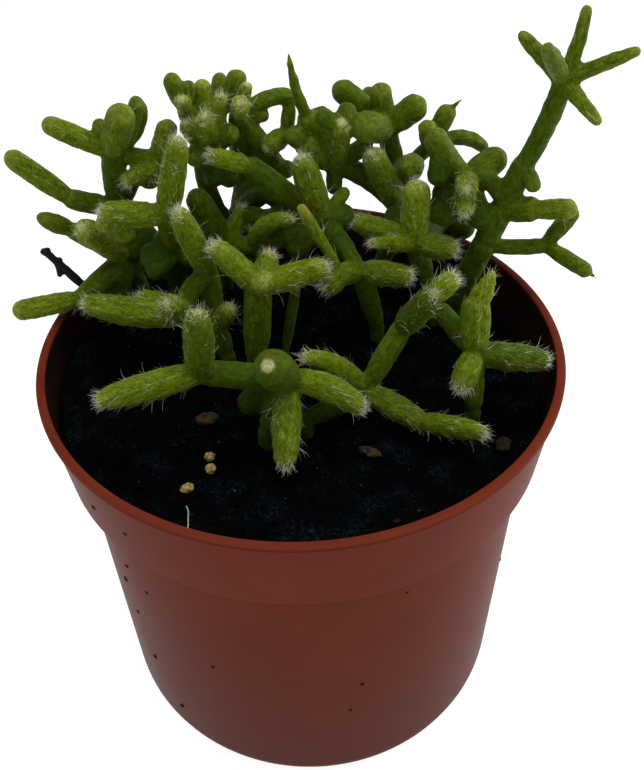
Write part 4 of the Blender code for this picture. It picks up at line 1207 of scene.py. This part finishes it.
def dry_stick(name):
    """Dead dry stem: dull grey-brown with dark cracks along it."""
    material, tree, shader, coords = new_material(name)
    along = stretched(tree, attribute(tree, "grain", "Vector"), (4.0, 4.0, 0.5))
    cracks = noise_of(tree, along, 1.2, 5.0)
    feed(tree, shader, {
        "Base Color": mixed(tree, cracks, "#120f0c", "#231e1a"),
        "Normal": bumped(tree, cracks, 0.8, 0.3),
        "Roughness": 0.85,
        "Specular IOR Level": 0.25,
    })
    return material


twig_segments = segments_of(TWIG_FOOT, TWIG_WIDTH, TWIG_ROWS, {},
                            {row[0]: STICK for row in TWIG_ROWS}, {})
twig = grown_together("dry_twig", twig_segments, TWIG_SKIN_STEP, TWIG_SMOOTHING)
describe(twig, twig_segments, 40)
twig.data.materials.clear()
twig.data.materials.append(dry_stick("dead dry stem"))
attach(twig, "root")
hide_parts("dead_twig")


# ---- Bark chips and pumice grains ------------------------------------------------------------
# Three chips of composted bark and three grains of pumice out of the potting mix. They lie loose
# on the peat, each on its flatter side.
GRAIN_LUMPS = 0.12
GRAIN_FLAT = 0.75
GRAIN_SINK = 0.1
CHIP_PITS = 0.1
PUMICE_PITS = 0.2
# Each as (x, y, half its length, half its width, half its height, degrees turned)
BARK_CHIPS = {
    "bark_chip_left": (-15.6, -9.2, 1.9, 1.3, 0.8, 15),
    "bark_chip_front": (10.0, -18.1, 2.0, 0.9, 0.6, -25),
    "bark_chip_right": (30.9, -17.6, 1.5, 1.2, 0.8, 50),
}
PUMICE_GRAINS = {
    "pumice_grain_back": (-14.7, -17.4, 0.85, 0.8, 0.75, 40),
    "pumice_grain_middle": (-14.4, -20.0, 0.95, 0.85, 0.7, 80),
    "pumice_grain_front": (-17.7, -23.8, 1.1, 0.8, 0.7, 20),
}


def grain_form(name, x, y, half_x, half_y, half_z, turn, pits):
    """A pitted, uneven grain on the peat, on a flat cut across its lower part."""
    form = bmesh.new()
    bmesh.ops.create_icosphere(form, subdivisions=4, radius=1.0)
    cosine = math.cos(math.radians(turn))
    sine = math.sin(math.radians(turn))
    floor = max(soil_height(x + dx, y + dy) for dx in (-1, 0, 1) for dy in (-1, 0, 1))
    for vert in form.verts:
        waves = math.sin(5 * vert.co.x + 3 * vert.co.y + x) * math.cos(4 * vert.co.z)
        pit = abs(noise.fractal(vert.co * 3 + Vector((x, y, 0)), 0.9, 2.0, 3))
        lump = 1 + GRAIN_LUMPS * waves - pits * pit
        across = vert.co.x * half_x * lump
        deep = vert.co.y * half_y * lump
        high = (max(vert.co.z * lump, -GRAIN_FLAT) + GRAIN_FLAT) * half_z
        vert.co = Vector((x + across * cosine - deep * sine, y + across * sine + deep * cosine,
                          floor - GRAIN_SINK + high)) * MM
    grain = form_object(name, form)
    grain.data.shade_smooth()
    return grain


def mottled(name, dark, pale, grain_size):
    """Dull mottled mineral or bark: two tones in grains, with a rough surface."""
    material, tree, shader, coords = new_material(name)
    grains = noise_of(tree, coords, 1 / (grain_size * MM), 4.0)
    feed(tree, shader, {
        "Base Color": mixed(tree, ranged(tree, grains, 0.35, 0.65), dark, pale),
        "Normal": bumped(tree, grains, 0.6, 0.2),
        "Roughness": 0.9,
        "Specular IOR Level": 0.2,
    })
    return material


bark_material = mottled("composted bark", "#140f08", "#4a3a16", 0.9)
pumice_material = mottled("stained pumice", "#6a5830", "#b6a068", 0.5)
dark_bark_material = mottled("rotted dark bark", "#100c07", "#2e2514", 0.9)
for name, sizes in BARK_CHIPS.items():
    chip = grain_form(name + "_rough", *sizes, CHIP_PITS)
    chip.data.materials.append(dark_bark_material if name == "bark_chip_right" else bark_material)
    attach(chip, "root")
    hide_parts(name)
for name, sizes in PUMICE_GRAINS.items():
    grain = grain_form(name + "_rough", *sizes, PUMICE_PITS)
    grain.data.materials.append(pumice_material)
    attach(grain, "root")
    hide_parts(name)


# ---- Floor and light -------------------------------------------------------------------------
# A plain white light table, so bright that shadows barely show on it, in a pale room that is
# brightest near the horizon. Large soft boxes light the plant from above and from both sides.
TABLE_HALF = 3000
TABLE_DROP = 0.05
TABLE_GLOW = 0.9
TABLE_COLOUR = "#8c8c8c"
ROOM_GLOW = 1.0
CEILING_GLOW = 0.12
WHITE = (1.0, 1.0, 1.0, 1.0)
LAMP_AIM = Vector((0, 0, 60))

corners = ((-1, -1), (1, -1), (1, 1), (-1, 1))
table = mesh_object("table", [(TABLE_HALF * x, TABLE_HALF * y, -TABLE_DROP) for x, y in corners],
                    [(0, 1, 2, 3)])
table_material, tree, shader, coords = new_material("white light table")
feed(tree, shader, {
    "Base Color": linear(TABLE_COLOUR), "Roughness": 1.0, "Specular IOR Level": 0.0,
    "Emission Color": WHITE, "Emission Strength": TABLE_GLOW,
})
table.data.materials.append(table_material)

world = bpy.data.worlds.new("pale room")
world.use_nodes = True
tree = world.node_tree
direction = add_node(tree, "ShaderNodeTexCoord").outputs["Generated"]
height = add_node(tree, "ShaderNodeSeparateXYZ", None, {0: direction}).outputs["Z"]
glow = ranged(tree, height, 0.12, 0.5, ROOM_GLOW, CEILING_GLOW)
feed(tree, tree.nodes["Background"], {"Strength": glow, "Color": WHITE})
scene.world = world


def soft_box(name, place, width, height, power):
    """A large rectangular lamp aimed at the middle of the plant."""
    lamp = bpy.data.lights.new(name, "AREA")
    lamp.shape = "RECTANGLE"
    lamp.size = width * MM
    lamp.size_y = height * MM
    lamp.energy = power
    place = Vector(place)
    turn = (LAMP_AIM - place).to_track_quat("-Z", "Y").to_matrix().to_4x4()
    linked(name, lamp).matrix_world = Matrix.Translation(place * MM) @ turn


soft_box("overhead box", (60, -20, 600), 600, 600, 3.1)
soft_box("right box", (550, 200, 260), 300, 400, 2.6)
soft_box("left box", (-550, 150, 260), 300, 400, 0.3)
scene.view_settings.view_transform = "Standard"
